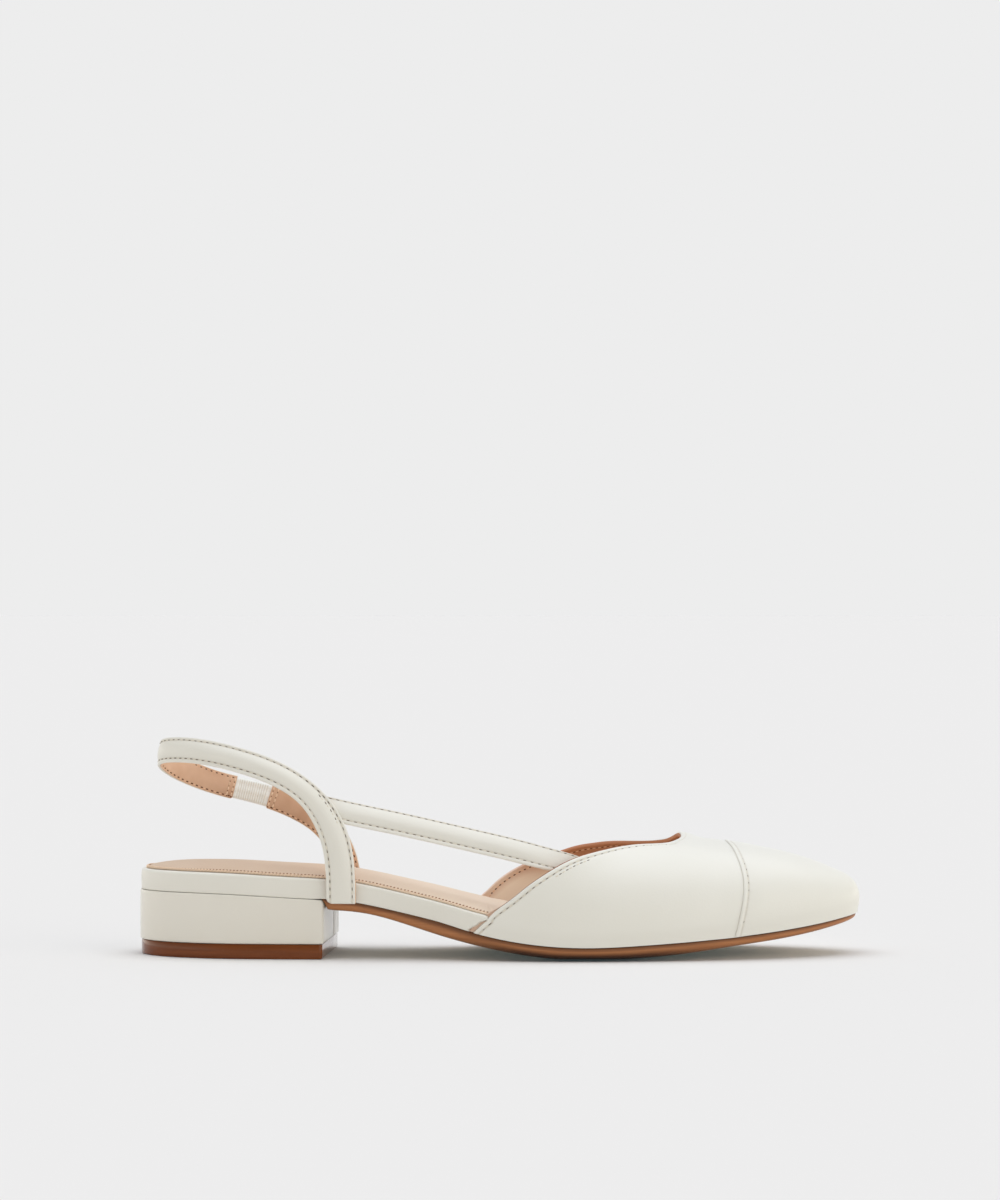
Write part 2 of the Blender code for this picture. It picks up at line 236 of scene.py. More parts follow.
def openGroup(name, inputs, outputs):
    group = bpy.data.node_groups.new(name, "ShaderNodeTree")
    for label, kind, value in inputs:
        socket = group.interface.new_socket(label, in_out="INPUT", socket_type="NodeSocket" + kind)
        socket.default_value = value
    for label, kind in outputs:
        group.interface.new_socket(label, in_out="OUTPUT", socket_type="NodeSocket" + kind)
    return group, put(group, "NodeGroupInput").outputs


def makeLeatherGrain():  # pebbles, fine crossing lines and slow drift of tone
    usual = {"Pebble Scale": 1500.0, "Line Scale": 500.0, "Drift Scale": 30.0}
    sizes = [(label, "Float", size) for label, size in usual.items()]
    group, given = openGroup("leatherGrain", sizes, (("Height", "Float"), ("Drift", "Float")))
    place = objectPlace(group)
    pebble = put(group, "ShaderNodeTexVoronoi", {"Vector": place, "Scale": given["Pebble Scale"]})
    lines = noise(group, place, given["Line Scale"], 6.0)
    drift = noise(group, place, given["Drift Scale"], 3.0)
    height = calc(group, "MULTIPLY_ADD", lines, 0.7, pebble.outputs["Distance"])
    put(group, "NodeGroupOutput", {"Height": height, "Drift": spread(group, drift, 0.3, 0.7)})
    return group


def makeSeamShade():  # painted shade: darker in the grooves and the other shaded places that the mesh marks as crease
    inputs = (("Colour", "Color", (1, 1, 1, 1)), ("Groove", "Color", (0, 0, 0, 1)))
    group, given = openGroup("seamShade", inputs, (("Colour", "Color"),))
    crease = put(group, "ShaderNodeAttribute", attribute_name="crease").outputs["Fac"]
    put(group, "NodeGroupOutput", {"Colour": mixColour(group, crease, given["Colour"], given["Groove"])})
    return group


leatherGrain = makeLeatherGrain()
seamShade = makeSeamShade()


def startMaterial(name):
    material = bpy.data.materials.new(name)
    material.use_nodes = True
    return material, material.node_tree, material.node_tree.nodes["Principled BSDF"]


def creased(tree, tone, look):  # from light to deep by the tone, then darker by the painted shade that the mesh marks
    body = mixColour(tree, tone, linear(*look["light"]), linear(*look["deep"]))
    shaded = {"Colour": body, "Groove": linear(*look["groove"])}
    return put(tree, "ShaderNodeGroup", shaded, node_tree=seamShade).outputs["Colour"]


def relief(tree, height, look):
    bump = {"Height": height, "Strength": look["relief"], "Distance": look["reliefDepth"] * mm}
    return put(tree, "ShaderNodeBump", bump).outputs[0]


def gloss(look):
    return {
        "Specular IOR Level": look["specular"],
        "Coat Weight": look["coat"],
        "Coat Roughness": look["coatRoughness"],
        "Coat IOR": 1.2,  # hardly seen face on, bright at a grazing angle
    }


def makeLeather(name, look):
    material, tree, shader = startMaterial(name)
    scales = dict(zip(("Pebble Scale", "Line Scale", "Drift Scale"), look["grainScales"]))
    grain = put(tree, "ShaderNodeGroup", scales, node_tree=leatherGrain).outputs
    colour = creased(tree, grain["Drift"], look)
    rough = spread(tree, grain["Height"], 0.2, 1.1, *look["roughness"])
    surface = {"Base Color": colour, "Roughness": rough, "Normal": relief(tree, grain["Height"], look)}
    setSockets(tree, shader, {**surface, **gloss(look)})
    return material


def makeMoulded(name, look):  # sole edge and heel tip: streaks along the edge, fine speckle
    material, tree, shader = startMaterial(name)
    place = objectPlace(tree)
    drawn = put(tree, "ShaderNodeMapping", {"Vector": place, "Scale": look["streakScale"]}).outputs[0]
    streak = noise(tree, drawn, 1.0, 4.0)
    speckle = noise(tree, place, look["speckleScale"], 3.0)
    colour = creased(tree, spread(tree, streak, 0.3, 0.7), look)
    mark = put(tree, "ShaderNodeAttribute", attribute_name="crease").outputs["Fac"]
    below = spread(tree, mark, 1.0, 2.0)  # past 1 the mark means the underside
    colour = mixColour(tree, below, colour, linear(*look["under"]))
    rough = spread(tree, speckle, 0.3, 0.7, *look["roughness"])
    height = calc(tree, "MULTIPLY_ADD", streak, 0.6, speckle)
    surface = {"Base Color": colour, "Roughness": rough, "Normal": relief(tree, height, look)}
    setSockets(tree, shader, {**surface, **gloss(look)})
    return material


def makeYarn(name, look):  # threads and elastic: soft fibres with a little sheen
    material, tree, shader = startMaterial(name)
    fibre = noise(tree, objectPlace(tree), look["fibreScale"], 4.0)
    surface = {"Base Color": creased(tree, fibre, look), "Normal": relief(tree, fibre, look)}
    setSockets(tree, shader, {**surface, "Roughness": look["roughness"], "Sheen Weight": look["sheen"]})
    return material


usualLeather = {"relief": 0.4, "reliefDepth": 0.05, "specular": 0.5, "coat": 0.0, "coatRoughness": 0.1}
leatherLooks = {
    "whiteLeather": {
        "light": (237, 235, 226), "deep": (234, 232, 222), "groove": (172, 157, 137),
        "grainScales": (1500.0, 520.0, 28.0), "roughness": (0.3, 0.42), "relief": 0.35,
    },
    "heelLeather": {
        "light": (232, 228, 217), "deep": (229, 224, 212), "groove": (118, 100, 84),
        "grainScales": (1500.0, 520.0, 28.0), "roughness": (0.3, 0.42), "relief": 0.25,
        "coat": 0.6, "coatRoughness": 0.09,
    },
    "liningLeather": {
        "light": (238, 202, 172), "deep": (212, 170, 139), "groove": (132, 82, 50),
        "grainScales": (1900.0, 700.0, 75.0), "roughness": (0.36, 0.5),
    },
    "paleLining": {
        "light": (255, 239, 222), "deep": (251, 233, 214), "groove": (182, 113, 68),
        "grainScales": (1900.0, 700.0, 36.0), "roughness": (0.45, 0.62), "specular": 0.4,
    },
    "sockLeather": {
        "light": (233, 213, 190), "deep": (228, 206, 181), "groove": (156, 110, 70),
        "grainScales": (1900.0, 700.0, 30.0), "roughness": (0.5, 0.66), "specular": 0.35,
    },
}
# a slightly darker copy of the white leather for the straps and the board cover: painted shade that dims them
shadedWhiteTones = {"light": (234, 231, 221), "deep": (231, 228, 217)}
leatherLooks["shadedWhiteLeather"] = {**leatherLooks["whiteLeather"], **shadedWhiteTones}
mouldedLooks = {
    "soleEdge": {
        "light": (190, 129, 83), "deep": (174, 113, 70), "groove": (78, 44, 24), "under": (218, 204, 186),
        "streakScale": (25.0, 25.0, 900.0), "speckleScale": 1400.0, "roughness": (0.34, 0.5),
        "relief": 0.3, "reliefDepth": 0.04, "specular": 0.3,
        "coat": 0.0, "coatRoughness": 0.25,
    },
    "heelTip": {
        "light": (127, 71, 38), "deep": (109, 59, 31), "groove": (60, 34, 20), "under": (109, 59, 31),
        "streakScale": (40.0, 40.0, 700.0), "speckleScale": 1200.0, "roughness": (0.16, 0.28),
        "relief": 0.3, "reliefDepth": 0.04, "specular": 0.08,
        "coat": 1.0, "coatRoughness": 0.06,
    },
}
usualThread = {"fibreScale": 2600.0, "relief": 0.5, "reliefDepth": 0.05, "roughness": 0.6, "sheen": 0.2}
usualHole = {"fibreScale": 2000.0, "relief": 0.5, "reliefDepth": 0.03, "roughness": 0.85, "sheen": 0.0}
elasticFinish = {"fibreScale": 2200.0, "relief": 0.5, "reliefDepth": 0.06, "roughness": 0.75, "sheen": 0.35}
# the holes' dark colours are painted shade in the needle holes
yarnTones = {  # light, deep, groove
    "whiteThread": (usualThread, (236, 230, 216), (218, 208, 188), (150, 138, 118)),
    "whiteHoleShade": (usualHole, (124, 111, 93), (98, 86, 71), (64, 54, 43)),
    "tanThread": (usualThread, (236, 196, 162), (220, 176, 140), (150, 110, 80)),
    "tanHoleShade": (usualHole, (108, 64, 38), (88, 50, 29), (60, 36, 20)),
    "paleThread": (usualThread, (240, 212, 184), (228, 196, 164), (180, 136, 104)),
    "paleHoleShade": (usualHole, (150, 104, 73), (130, 87, 60), (100, 66, 44)),
    "elasticYarn": (elasticFinish, (250, 253, 252), (245, 248, 245), (204, 197, 182)),
}
materials = {name: makeLeather(name, {**usualLeather, **look}) for name, look in leatherLooks.items()}
materials.update({name: makeMoulded(name, look) for name, look in mouldedLooks.items()})
for name, (finish, light, deep, groove) in yarnTones.items():
    materials[name] = makeYarn(name, {**finish, "light": light, "deep": deep, "groove": groove})
print("materials:", ", ".join(materials))


# Mesh building

def addObject(name, data):
    added = bpy.data.objects.new(name, data)
    bpy.context.scene.collection.objects.link(added)
    return added


def dress(piece, replaced=()):
    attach(piece, "root")
    if replaced:
        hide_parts(*replaced)
    return piece


def makePiece(name, points, faces, material, slot, replaced=(), crease=None, sharp=38):
    mesh = bpy.data.meshes.new(name)
    mesh.from_pydata((np.reshape(points, (-1, 3)) * mm).tolist(), [], faces)
    marks = np.zeros(len(mesh.vertices)) if crease is None else np.ravel(crease)
    mesh.attributes.new("crease", "FLOAT", "POINT").data.foreach_set("value", marks.astype(np.float32))
    body = bmesh.new()
    body.from_mesh(mesh)
    bmesh.ops.remove_doubles(body, verts=body.verts, dist=0.002 * mm)
    bmesh.ops.recalc_face_normals(body, faces=body.faces)
    body.to_mesh(mesh)
    body.free()
    mesh.materials.append(materials[material])
    mesh.shade_smooth()
    mesh.set_sharp_from_angle(angle=radians(sharp))
    piece = addObject(name, mesh)
    print("piece:", name, len(mesh.polygons), "faces")
    return dress(piece, replaced)


def loopFaces(loops, count, skipped=()):  # quads between neighbouring closed loops
    base = np.arange(loops - 1)[:, None] * count
    here = np.array([k for k in range(count) if k not in skipped])[None, :]
    after = (here + 1) % count
    quads = np.stack((base + here, base + after, base + count + after, base + count + here), axis=-1)
    return quads.reshape(-1, 4).tolist()


def cappedFaces(loops, count):
    faces = loopFaces(loops, count)
    faces.append(tuple(range(count)))
    faces.append(tuple(range((loops - 1) * count, loops * count)))
    return faces


def wallEnd(loop, rows):  # closes one end of a wall; a loop is its edge, the outer rows, the inner rows back
    faces = [(loop[0], loop[1], loop[-1])]
    for k in range(1, rows):
        faces.append((loop[k], loop[k + 1], loop[-1 - k], loop[-k]))
    return faces


def girthAngles(foot, step, footSteps=4):
    low = np.linspace(foot, 90, footSteps, endpoint=False)
    arch = np.linspace(-90, 90, int(180 / step) + 1)
    return np.concatenate((-low, arch, low[::-1]))


def wallPiece(name, girth, edgeX, x, edgeOffset, outer, inner, toTip, crease, **dressing):
    rows = x.shape[1]
    base = lastPoints(np.broadcast_to(girth[:, None], x.shape), x)
    normal = unit(np.cross(np.gradient(base, axis=1), np.gradient(base, axis=0)))
    if toTip:
        normal[:, -1] = (1, 0, 0)
    edge = lastPoints(girth, edgeX) + normal[:, 0] * edgeOffset
    outside = base + normal * outer[..., None]
    inside = base + normal * inner[..., None]
    loops = np.concatenate((edge[:, None], outside, inside[:, ::-1]), axis=1)
    count = 2 * rows + 1
    faces = loopFaces(len(girth), count, (rows,) if toTip else ())
    faces += wallEnd(list(range(count)), rows)
    faces += wallEnd(list(range((len(girth) - 1) * count, len(girth) * count)), rows)
    marks = np.concatenate((crease[:, :1], crease, crease[:, ::-1]), axis=1)
    return makePiece(name, loops, faces, crease=marks, **dressing)


def fromEdge(cut, girth, table):
    distance = np.array([row[0] for row in table])
    stretch = edgeStretch(cut, girth)
    return distance, cut(girth)[:, None] + stretch[:, None] * distance[None, :]


def runToTip(near, girth, rows):  # from the worked edge on to the tip of the toe
    tip = lastForm["toeTip"] - toeTuck(girth)[1]
    rest = np.sin(np.linspace(0, pi / 2, rows + 1)[1:])
    far = near[:, -1:] + (tip[:, None] - near[:, -1:]) * rest
    return np.concatenate((near, far), axis=1)


def faceHeights(x, table, column):  # as tabled near the edge, level past it
    heights = np.full(x.shape, table[-1][column])
    heights[:, :len(table)] = [row[column] for row in table]
    return heights


# Vamp: one skin of leather turned under at the top line, and its lining
vampForm = {
    "step": 0.6,
    "skin": 1.0,
    "rows": 40,
    "underCap": 9.0,
    "edgeHeight": -0.5,
    "seamLift": 0.35,
    "seamRise": (-8.0, -0.5),
    "seamFall": (0.5, 6.0),
    "throatLift": 1.1,
    "throatPeak": 9.0,
    "throatSpread": 10.0,
    "rollOut": (1.5, 8.0),
    "pitch": 2.8,
    "stitchAt": 1.75,
    "groove": 0.27,
    "grooveWidth": 0.28,
    "throatCalm": 42.0,
    "throatEase": 0.8,  # how far the groove fills up round the front of the throat
    "pucker": 0.05,
    "puckerWidth": 0.7,
    "creaseShade": 0.5,
    "creaseWidth": 0.3,
    "fold": (  # from the edge, height of the outer face, of the inner face
        (0.05, -0.34, -0.66), (0.15, -0.10, -0.90), (0.33, 0.08, -1.0), (0.64, 0.17, -1.0),
        (1.00, 0.19, -1.0), (1.30, 0.18, -1.0), (1.54, 0.17, -1.0), (1.75, 0.16, -1.0),
        (1.96, 0.15, -1.0), (2.22, 0.145, -1.0), (2.60, 0.14, -1.0), (3.20, 0.13, -1.0),
        (4.20, 0.11, -1.0), (5.40, 0.06, -1.0), (7.00, 0.02, -1.0), (9.00, 0.0, -1.0),
    ),
}


def throatRoll(girth, distance):  # the edge rolls up a little at the front of the throat
    throat = bell(girth, vampForm["throatPeak"], vampForm["throatSpread"])
    return vampForm["throatLift"] * throat * (1 - softStep(distance, *vampForm["rollOut"]))


def grooveShare(girth):
    return 1 - vampForm["throatEase"] * bell(girth, 0, vampForm["throatCalm"])


def foldHeight(girth, distance):
    form = vampForm
    height = np.interp(distance, [row[0] for row in form["fold"]], [row[1] for row in form["fold"]])
    groove = form["groove"] * grooveShare(girth) * bell(distance, form["stitchAt"], form["grooveWidth"])
    return height - groove + throatRoll(girth, distance)


def buildVamp():
    form = vampForm
    girth = girthAngles(lastForm["feather"], form["step"])
    distance, near = fromEdge(topLine, girth, form["fold"])
    end = capSeam(girth) + form["underCap"]
    rest = np.linspace(0, 1, form["rows"] + 1)[1:]
    far = near[:, -1:] + (end[:, None] - near[:, -1:]) * rest
    x = np.concatenate((near, far), axis=1)
    run = runningLength(lastPoints(girth, topLine(girth)))
    fold = len(form["fold"])
    outer = np.zeros(x.shape)
    outer[:, :fold] = foldHeight(girth[:, None], distance[None, :])
    wave = form["pucker"] * np.cos(2 * pi * run / form["pitch"])
    outer[:, :fold] += wave[:, None] * bell(distance, form["stitchAt"], form["puckerWidth"])
    toSeam = x - capSeam(girth)[:, None]
    backing = softStep(toSeam, *form["seamRise"]) * (1 - softStep(toSeam, *form["seamFall"]))
    outer += form["seamLift"] * backing
    inner = np.full(x.shape, -form["skin"])
    inner[:, :fold] = [row[2] for row in form["fold"]]
    inner[:, :fold] += throatRoll(girth[:, None], distance[None, :])
    crease = np.zeros(x.shape)
    shade = form["creaseShade"] * grooveShare(girth)
    crease[:, :fold] = shade[:, None] * bell(distance, form["stitchAt"], form["creaseWidth"])
    wallPiece("vamp", girth, topLine(girth), x, form["edgeHeight"], outer, inner, False, crease,
              material="whiteLeather", slot="white_leather", replaced=["upper"])


liningForm = {
    "step": 1.0,
    "rows": 46,
    "stitchAt": 1.45,
    "liningShade": (0.9, 4.0, 10.0),  # painted shade on the lining round the throat: its strength, and where it fades out from the top line
    "liningShadeGirth": (59.0, 80.0),
    "lip": (0.05, 0.4, 1.1),
    "rearEdge": (0.32, 1.7, 3.4),
    "peek": 1.3,  # how far it shows behind the rear lower corners of the vamp
    "peekGirth": (83.0, 90.0),
    "peekShade": (0.12, 0.0, 3.0),
    "edgeOut": 0.05,
    "edgeHeight": -1.0,
    "edge": (  # from the top line, height of the face on the vamp, of the face on the foot
        (-0.26, -0.66, -1.3), (-0.24, -0.46, -1.55), (-0.12, -0.42, -1.7), (-0.06, -1.05, -1.78),
        (0.4, -1.05, -1.8), (0.85, -1.05, -1.8), (1.15, -1.05, -1.76), (1.45, -1.05, -1.68),
        (1.75, -1.05, -1.76), (2.15, -1.05, -1.8), (4.0, -1.05, -1.82), (6.0, -1.05, -1.8),
        (8.0, -1.05, -1.8),
    ),
}


def buildLining():
    form = liningForm
    girth = girthAngles(lastForm["feather"], form["step"])
    distance, near = fromEdge(topLine, girth, form["edge"])
    low = softStep(np.abs(girth), *form["peekGirth"])
    near -= form["peek"] * low[:, None]
    x = runToTip(near, girth, form["rows"])
    outer = faceHeights(x, form["edge"], 1)
    inner = faceHeights(x, form["edge"], 2)
    roll = throatRoll(girth[:, None], distance[None, :])
    outer[:, :len(distance)] += roll
    inner[:, :len(distance)] += roll
    stretch = edgeStretch(topLine, girth)
    edgeX = topLine(girth) + stretch * (distance[0] - form["edgeOut"]) - form["peek"] * low
    away = (x - topLine(girth)[:, None]) / stretch[:, None]
    # painted shade on the lining: round the throat, along its lip there, along the rear edge and on the
    # sliver that peeks out behind the vamp
    strength, full, gone = form["liningShade"]
    throat = 1 - softStep(np.abs(girth), *form["liningShadeGirth"])
    liningShade = strength * (1 - softStep(away, full, gone)) * throat[:, None]
    for (strength, full, gone), where in ((form["lip"], throat), (form["rearEdge"], 1 - throat)):
        liningShade += strength * (1 - softStep(away, full, gone)) * where[:, None]
    strength, full, gone = form["peekShade"]
    liningShade += strength * low[:, None] * (1 - softStep(away, full, gone))
    wallPiece("vampLining", girth, edgeX, x, roll[:, :1] + form["edgeHeight"], outer, inner, True, liningShade,
              material="paleLining", slot="tan_lining")


# Toe cap: laid over the vamp, with a turned and stitched edge
capForm = {
    "step": 0.6,
    "foot": 99.4,
    "rows": 44,
    "pitch": 2.8,
    "stitchAt": 1.9,
    "pucker": 0.05,
    "puckerWidth": 0.7,
    "seamShade": 0.35,
    "seamWidths": (0.3, 0.12),  # of the shade along the stitches, and along the edge
    "edgeHeight": 0.48,
    "edge": (  # from the seam, height of the outer face, of the inner face
        (0.06, 0.6, 0.36), (0.25, 0.8, 0.36), (0.6, 0.9, 0.36), (1.0, 0.88, 0.36), (1.35, 0.76, 0.36),
        (1.65, 0.64, 0.36), (1.9, 0.6, 0.36), (2.15, 0.65, 0.35), (2.5, 0.74, 0.34), (3.1, 0.84, 0.3),
        (4.2, 0.96, 0.24), (6.0, 1.08, 0.15), (8.5, 1.16, 0.1), (11.0, 1.18, 0.1),
    ),
}


def buildToeCap():
    form = capForm
    girth = girthAngles(form["foot"], form["step"])
    distance, near = fromEdge(capSeam, girth, form["edge"])
    x = runToTip(near, girth, form["rows"])
    run = runningLength(lastPoints(girth, capSeam(girth)))
    outer = faceHeights(x, form["edge"], 1)
    inner = faceHeights(x, form["edge"], 2)
    wave = form["pucker"] * np.cos(2 * pi * run / form["pitch"])
    outer[:, :len(distance)] += wave[:, None] * bell(distance, form["stitchAt"], form["puckerWidth"])
    crease = np.zeros(x.shape)
    for middle, width in zip((form["stitchAt"], 0.0), form["seamWidths"]):
        crease[:, :len(distance)] += form["seamShade"] * bell(distance, middle, width)
    wallPiece("toeCap", girth, capSeam(girth), x, form["edgeHeight"], outer, inner, True, crease,
              material="whiteLeather", slot="white_leather", replaced=["toe_cap"])


buildVamp()
buildLining()
buildToeCap()


# Bottom: outsole, covered board and padded sock, all cut to the plan of the last

def evenRim(x):
    return 0 * x + 1.0


# a rim row is its inset, the height added and the share of the slab's thickness
def slabRings(rim, low, high, inset, count, rear=None, soften=evenRim, slant=0.0):
    t = np.linspace(0, 1, count)
    along = np.sin(pi * t / 2)
    if rear is None:
        fine = np.arange(*bottomForm["fineRows"]) - lastForm["heelBack"]
        fine = fine / (lastForm["toeTip"] - lastForm["heelBack"])
        along = np.sort(np.append((1 - np.cos(pi * t)) / 2, fine))
    rings = []
    for rimInset, above, share in rim:
        back = lastForm["heelBack"] + inset(lastForm["heelBack"], share) + rimInset
        tip = lastForm["toeTip"] - inset(lastForm["toeTip"], share) - rimInset * soften(lastForm["toeTip"])
        start = back if rear is None else rear
        x = start + (tip - start) * along
        leaning = softStep(x, *bottomForm["slantFrom"]) * (1 - softStep(x, *bottomForm["slantTo"]))
        x = x + slant * share * leaning
        z = low(x) + above + share * (high(x) - low(x))
        half = planHalf(x, inset(x, share) + rimInset * soften(x), back, tip)
        outerSide = np.stack((x, midLine(x) - half, z), axis=1)
        innerSide = np.stack((x, midLine(x) + half, z), axis=1)
        rings.append(np.concatenate((outerSide, innerSide[::-1])))
    return np.array(rings)


def slabFaces(rings):  # sides, then both ends laddered across
    loops, count = rings.shape[:2]
    faces = loopFaces(loops, count)
    for first in (0, (loops - 1) * count):
        for i in range(count // 2 - 1):
            faces.append((first + i, first + i + 1, first + count - 2 - i, first + count - 1 - i))
    return faces


bottomForm = {
    "gap": 0.06,
    "soleRows": 150,
    "tailFrom": -61.6,
    "tailTo": -59.4,
    "edgeRounding": (  # x, share of the rim's rounding
        (-66, 0.1), (-40, 0.1), (-20, 0.2), (-5, 0.55), (12, 0.88), (32, 0.95), (50, 0.85), (66, 0.6),
        (84, 0.35), (127, 0.25),
    ),
    "waistLift": 0.42,  # the cover's lower edge stands a little higher between heel and vamp
    "waistFrom": (-66.0, -60.0),
    "waistTo": (-24.0, -8.0),
    "tailEdge": 0.4,
    "soleRim": (
        (16.0, 0.0, 0.0), (12.0, 0.0, 0.02), (9.0, 0.0, 0.06), (6.5, 0.0, 0.115), (4.6, 0.0, 0.175),
        (3.1, 0.0, 0.245), (2.0, 0.0, 0.32), (1.15, 0.0, 0.41), (0.55, 0.0, 0.52), (0.34, 0.0, 0.58),
        (0.18, 0.0, 0.64), (0.08, 0.0, 0.7), (0.0, 0.0, 0.76), (0.0, 0.0, 0.82), (0.0, 0.0, 0.88),
        (0.05, 0.0, 0.96), (0.3, 0.0, 1.0),
    ),
    "soleShading": (  # height up the edge, how much painted shade it takes at the waist, the ball and the toe: painted shadow under the upper at the top, painted shade near the floor at the ball, a lighter painted highlight between
        (0.0, 0.2, 0.5, 0.15), (0.06, 0.15, 0.9, 0.15), (0.3, 0.05, 1.0, 0.05), (0.43, 0.02, 0.85, 0.0),
        (0.56, 0.14, 0.42, 0.04), (0.64, 0.38, 0.22, 0.18), (0.7, 0.52, 0.1, 0.3), (0.76, 0.64, 0.4, 0.44),
        (0.82, 0.72, 0.5, 0.58), (0.9, 0.8, 0.7, 0.7), (0.96, 0.9, 0.9, 0.9), (1.0, 1.0, 1.0, 1.0),
    ),
    "paleRows": 2,  # rows of the underside that take the pale underside colour instead of the painted shading
    "ballFrom": (-18.0, 10.0),
    "toeFrom": (45.0, 85.0),
    "boardThickness": 7.3,
    "forepartBoard": 3.0,
    "thinsFrom": 0.0,
    "thinsTo": 26.0,
    "tuck": 2.5,
    "tuckFrom": -11.3,
    "tuckTo": -9.9,
    "tuckSlant": 6.8,  # the board's end leans with the edge of the vamp
    "slantFrom": (-60.0, -14.0),
    "slantTo": (4.0, 60.0),
    "fineRows": (-16.0, 2.0, 0.45),
    "boardRim": (
        (0.8, 0.0, 0.0), (0.22, 0.05, 0.0), (0.04, 0.25, 0.0), (0.0, 0.7, 0.0), (-0.05, 0.0, 0.4),
        (-0.05, 0.0, 0.6), (0.0, -1.5, 1.0), (0.1, -0.85, 1.0), (0.36, -0.36, 1.0), (0.8, -0.08, 1.0),
        (1.4, 0.0, 1.0), (2.2, -0.1, 1.0),
    ),
    "sockThickness": 1.5,
    "sockInset": 0.9,
    "sockHeelInset": 0.8,
    "sockGroove": (1.05, 0.25, 0.12),  # inset, width, shade
    "heelShade": (0.3, -75.0, -20.0),  # painted shade on the sock under the heel, and where it fades out
    "sockRim": (
        (0.4, 0.0, 0.0), (0.08, 0.12, 0.0), (0.0, 0.35, 0.0), (0.1, 0.62, 0.0), (0.35, 0.75, 0.0),
        (0.7, 0.72, 0.0), (1.05, 0.66, 0.0), (1.4, 0.78, 0.0), (2.0, 1.0, 0.0), (3.5, 1.4, 0.0),
        (6.0, 1.85, 0.0), (9.0, 2.25, 0.0), (13.0, 2.6, 0.0), (17.0, 2.8, 0.0), (20.0, 2.85, 0.0),
    ),
}


def boardTop(x):
    thick, thin = bottomForm["boardThickness"], bottomForm["forepartBoard"]
    ahead = softStep(x, bottomForm["thinsFrom"], bottomForm["thinsTo"])
    return featherHeight(x) + thick - (thick - thin) * ahead


def boardInset(x, share):
    slant = bottomForm["tuckSlant"] * share
    return bottomForm["tuck"] * softStep(x, bottomForm["tuckFrom"] + slant, bottomForm["tuckTo"] + slant)


soleSoftness = throughTable(bottomForm["edgeRounding"], 1)


def boardUnder(x):
    waist = softStep(x, *bottomForm["waistFrom"]) * (1 - softStep(x, *bottomForm["waistTo"]))
    return featherHeight(x) + bottomForm["waistLift"] * waist


def soleTop(x):
    return boardUnder(x) - bottomForm["gap"]


def soleUnder(x):
    full = np.maximum(0, featherHeight(x) - soleThickness(x))
    thin = soleTop(x) - bottomForm["tailEdge"]
    return thin + (full - thin) * softStep(x, bottomForm["tailFrom"], bottomForm["tailTo"])


def sockUnder(x):
    return boardTop(x) + bottomForm["gap"]


def sockTop(x):
    return sockUnder(x) + bottomForm["sockThickness"]


def sockInset(x, share):
    atHeel = 1 - softStep(x, lastForm["heelBack"], lastForm["heelBack"] + lastForm["heelRound"] / 2)
    bare = bottomForm["sockInset"] * (1 - boardInset(x, 1.0) / bottomForm["tuck"])  # none inside the vamp
    return boardInset(x, 1.0) + bare + bottomForm["sockHeelInset"] * atHeel


def buildBottom():
    form = bottomForm
    sole = slabRings(form["soleRim"], soleUnder, soleTop, lambda x, share: soleSetBack(x), form["soleRows"],
                     form["tailFrom"], soleSoftness)
    # painted shade and highlight up the sole's edge, blended from the waist to the ball to the toe
    shadeRows = np.array(form["soleShading"])
    share = np.array([row[2] for row in form["soleRim"]])[:, None]
    waist, ball, toe = (np.interp(share, shadeRows[:, 0], shadeRows[:, k]) for k in (1, 2, 3))
    marks = waist + (ball - waist) * softStep(sole[..., 0], *form["ballFrom"])
    marks = marks + (toe - marks) * softStep(sole[..., 0], *form["toeFrom"])
    marks[:form["paleRows"]] = 2.0
    makePiece("outsole", sole, slabFaces(sole), "soleEdge", "tan_outsole", ["outsole"], marks)
    board = slabRings(form["boardRim"], boardUnder, boardTop, boardInset, form["soleRows"],
                      slant=form["tuckSlant"])
    makePiece("boardCover", board, slabFaces(board), "shadedWhiteLeather", "white_leather", ["insole_board"])
    sock = slabRings(form["sockRim"], sockUnder, sockTop, sockInset, form["soleRows"])
    inset, above, share = np.array(form["sockRim"]).T
    middle, width, shade = form["sockGroove"]
    groove = bell(inset, middle, width) * shade * (above > 0.5)  # on top, not on the side below
    # painted shade on the sock: in its groove, and toward the heel
    shadeAtHeel, fadesFrom, fadesTo = form["heelShade"]
    marks = np.clip(groove[:, None] + shadeAtHeel * (1 - softStep(sock[..., 0], fadesFrom, fadesTo)), 0, 1)
    piece = makePiece("sockPad", sock, slabFaces(sock), "sockLeather", "tan_lining", ["sock_lining"], marks)


buildBottom()


# Heel: wrapped block with a seam down the breast, and its tip
heelForm = {
    "proud": 0.4,
    "breastX": -59.8,
    "skew": 1.6,
    "corner": 1.4,
    "sideRows": 60,
    "cornerRows": 7,
    "seamY": 6.2,
    "seam": (  # across the seam, depth
        (-1.3, 0.0), (-0.7, 0.06), (-0.3, 0.3), (0.0, 0.62), (0.2, 0.62), (0.3, 0.3), (0.5, 0.05), (1.0, 0.0),
    ),
    "seamShade": 1.6,  # for each millimetre of depth
    "breastShade": 0.1,  # on the outer panel
    "notchFrom": -61.9,
    "notchTo": -59.3,
    "tipHeight": 5.2,
    "tipInset": 0.45,
    "rim": (
        (1.2, 0.0, 0.0), (0.4, 0.1, 0.0), (0.1, 0.4, 0.0), (0.0, 1.0, 0.0), (0.0, 0.0, 0.35),
        (0.0, 0.0, 0.65), (0.0, -0.8, 1.0), (0.05, -0.3, 1.0), (0.24, -0.06, 1.0), (0.9, 0.0, 1.0),
    ),
    "tipRim": (
        (0.9, 0.0, 0.0), (0.3, 0.08, 0.0), (0.06, 0.35, 0.0), (0.0, 0.8, 0.0), (0.0, 0.0, 0.5),
        (0.0, -0.3, 1.0), (0.12, -0.05, 1.0), (0.5, 0.0, 1.0),
    ),
}


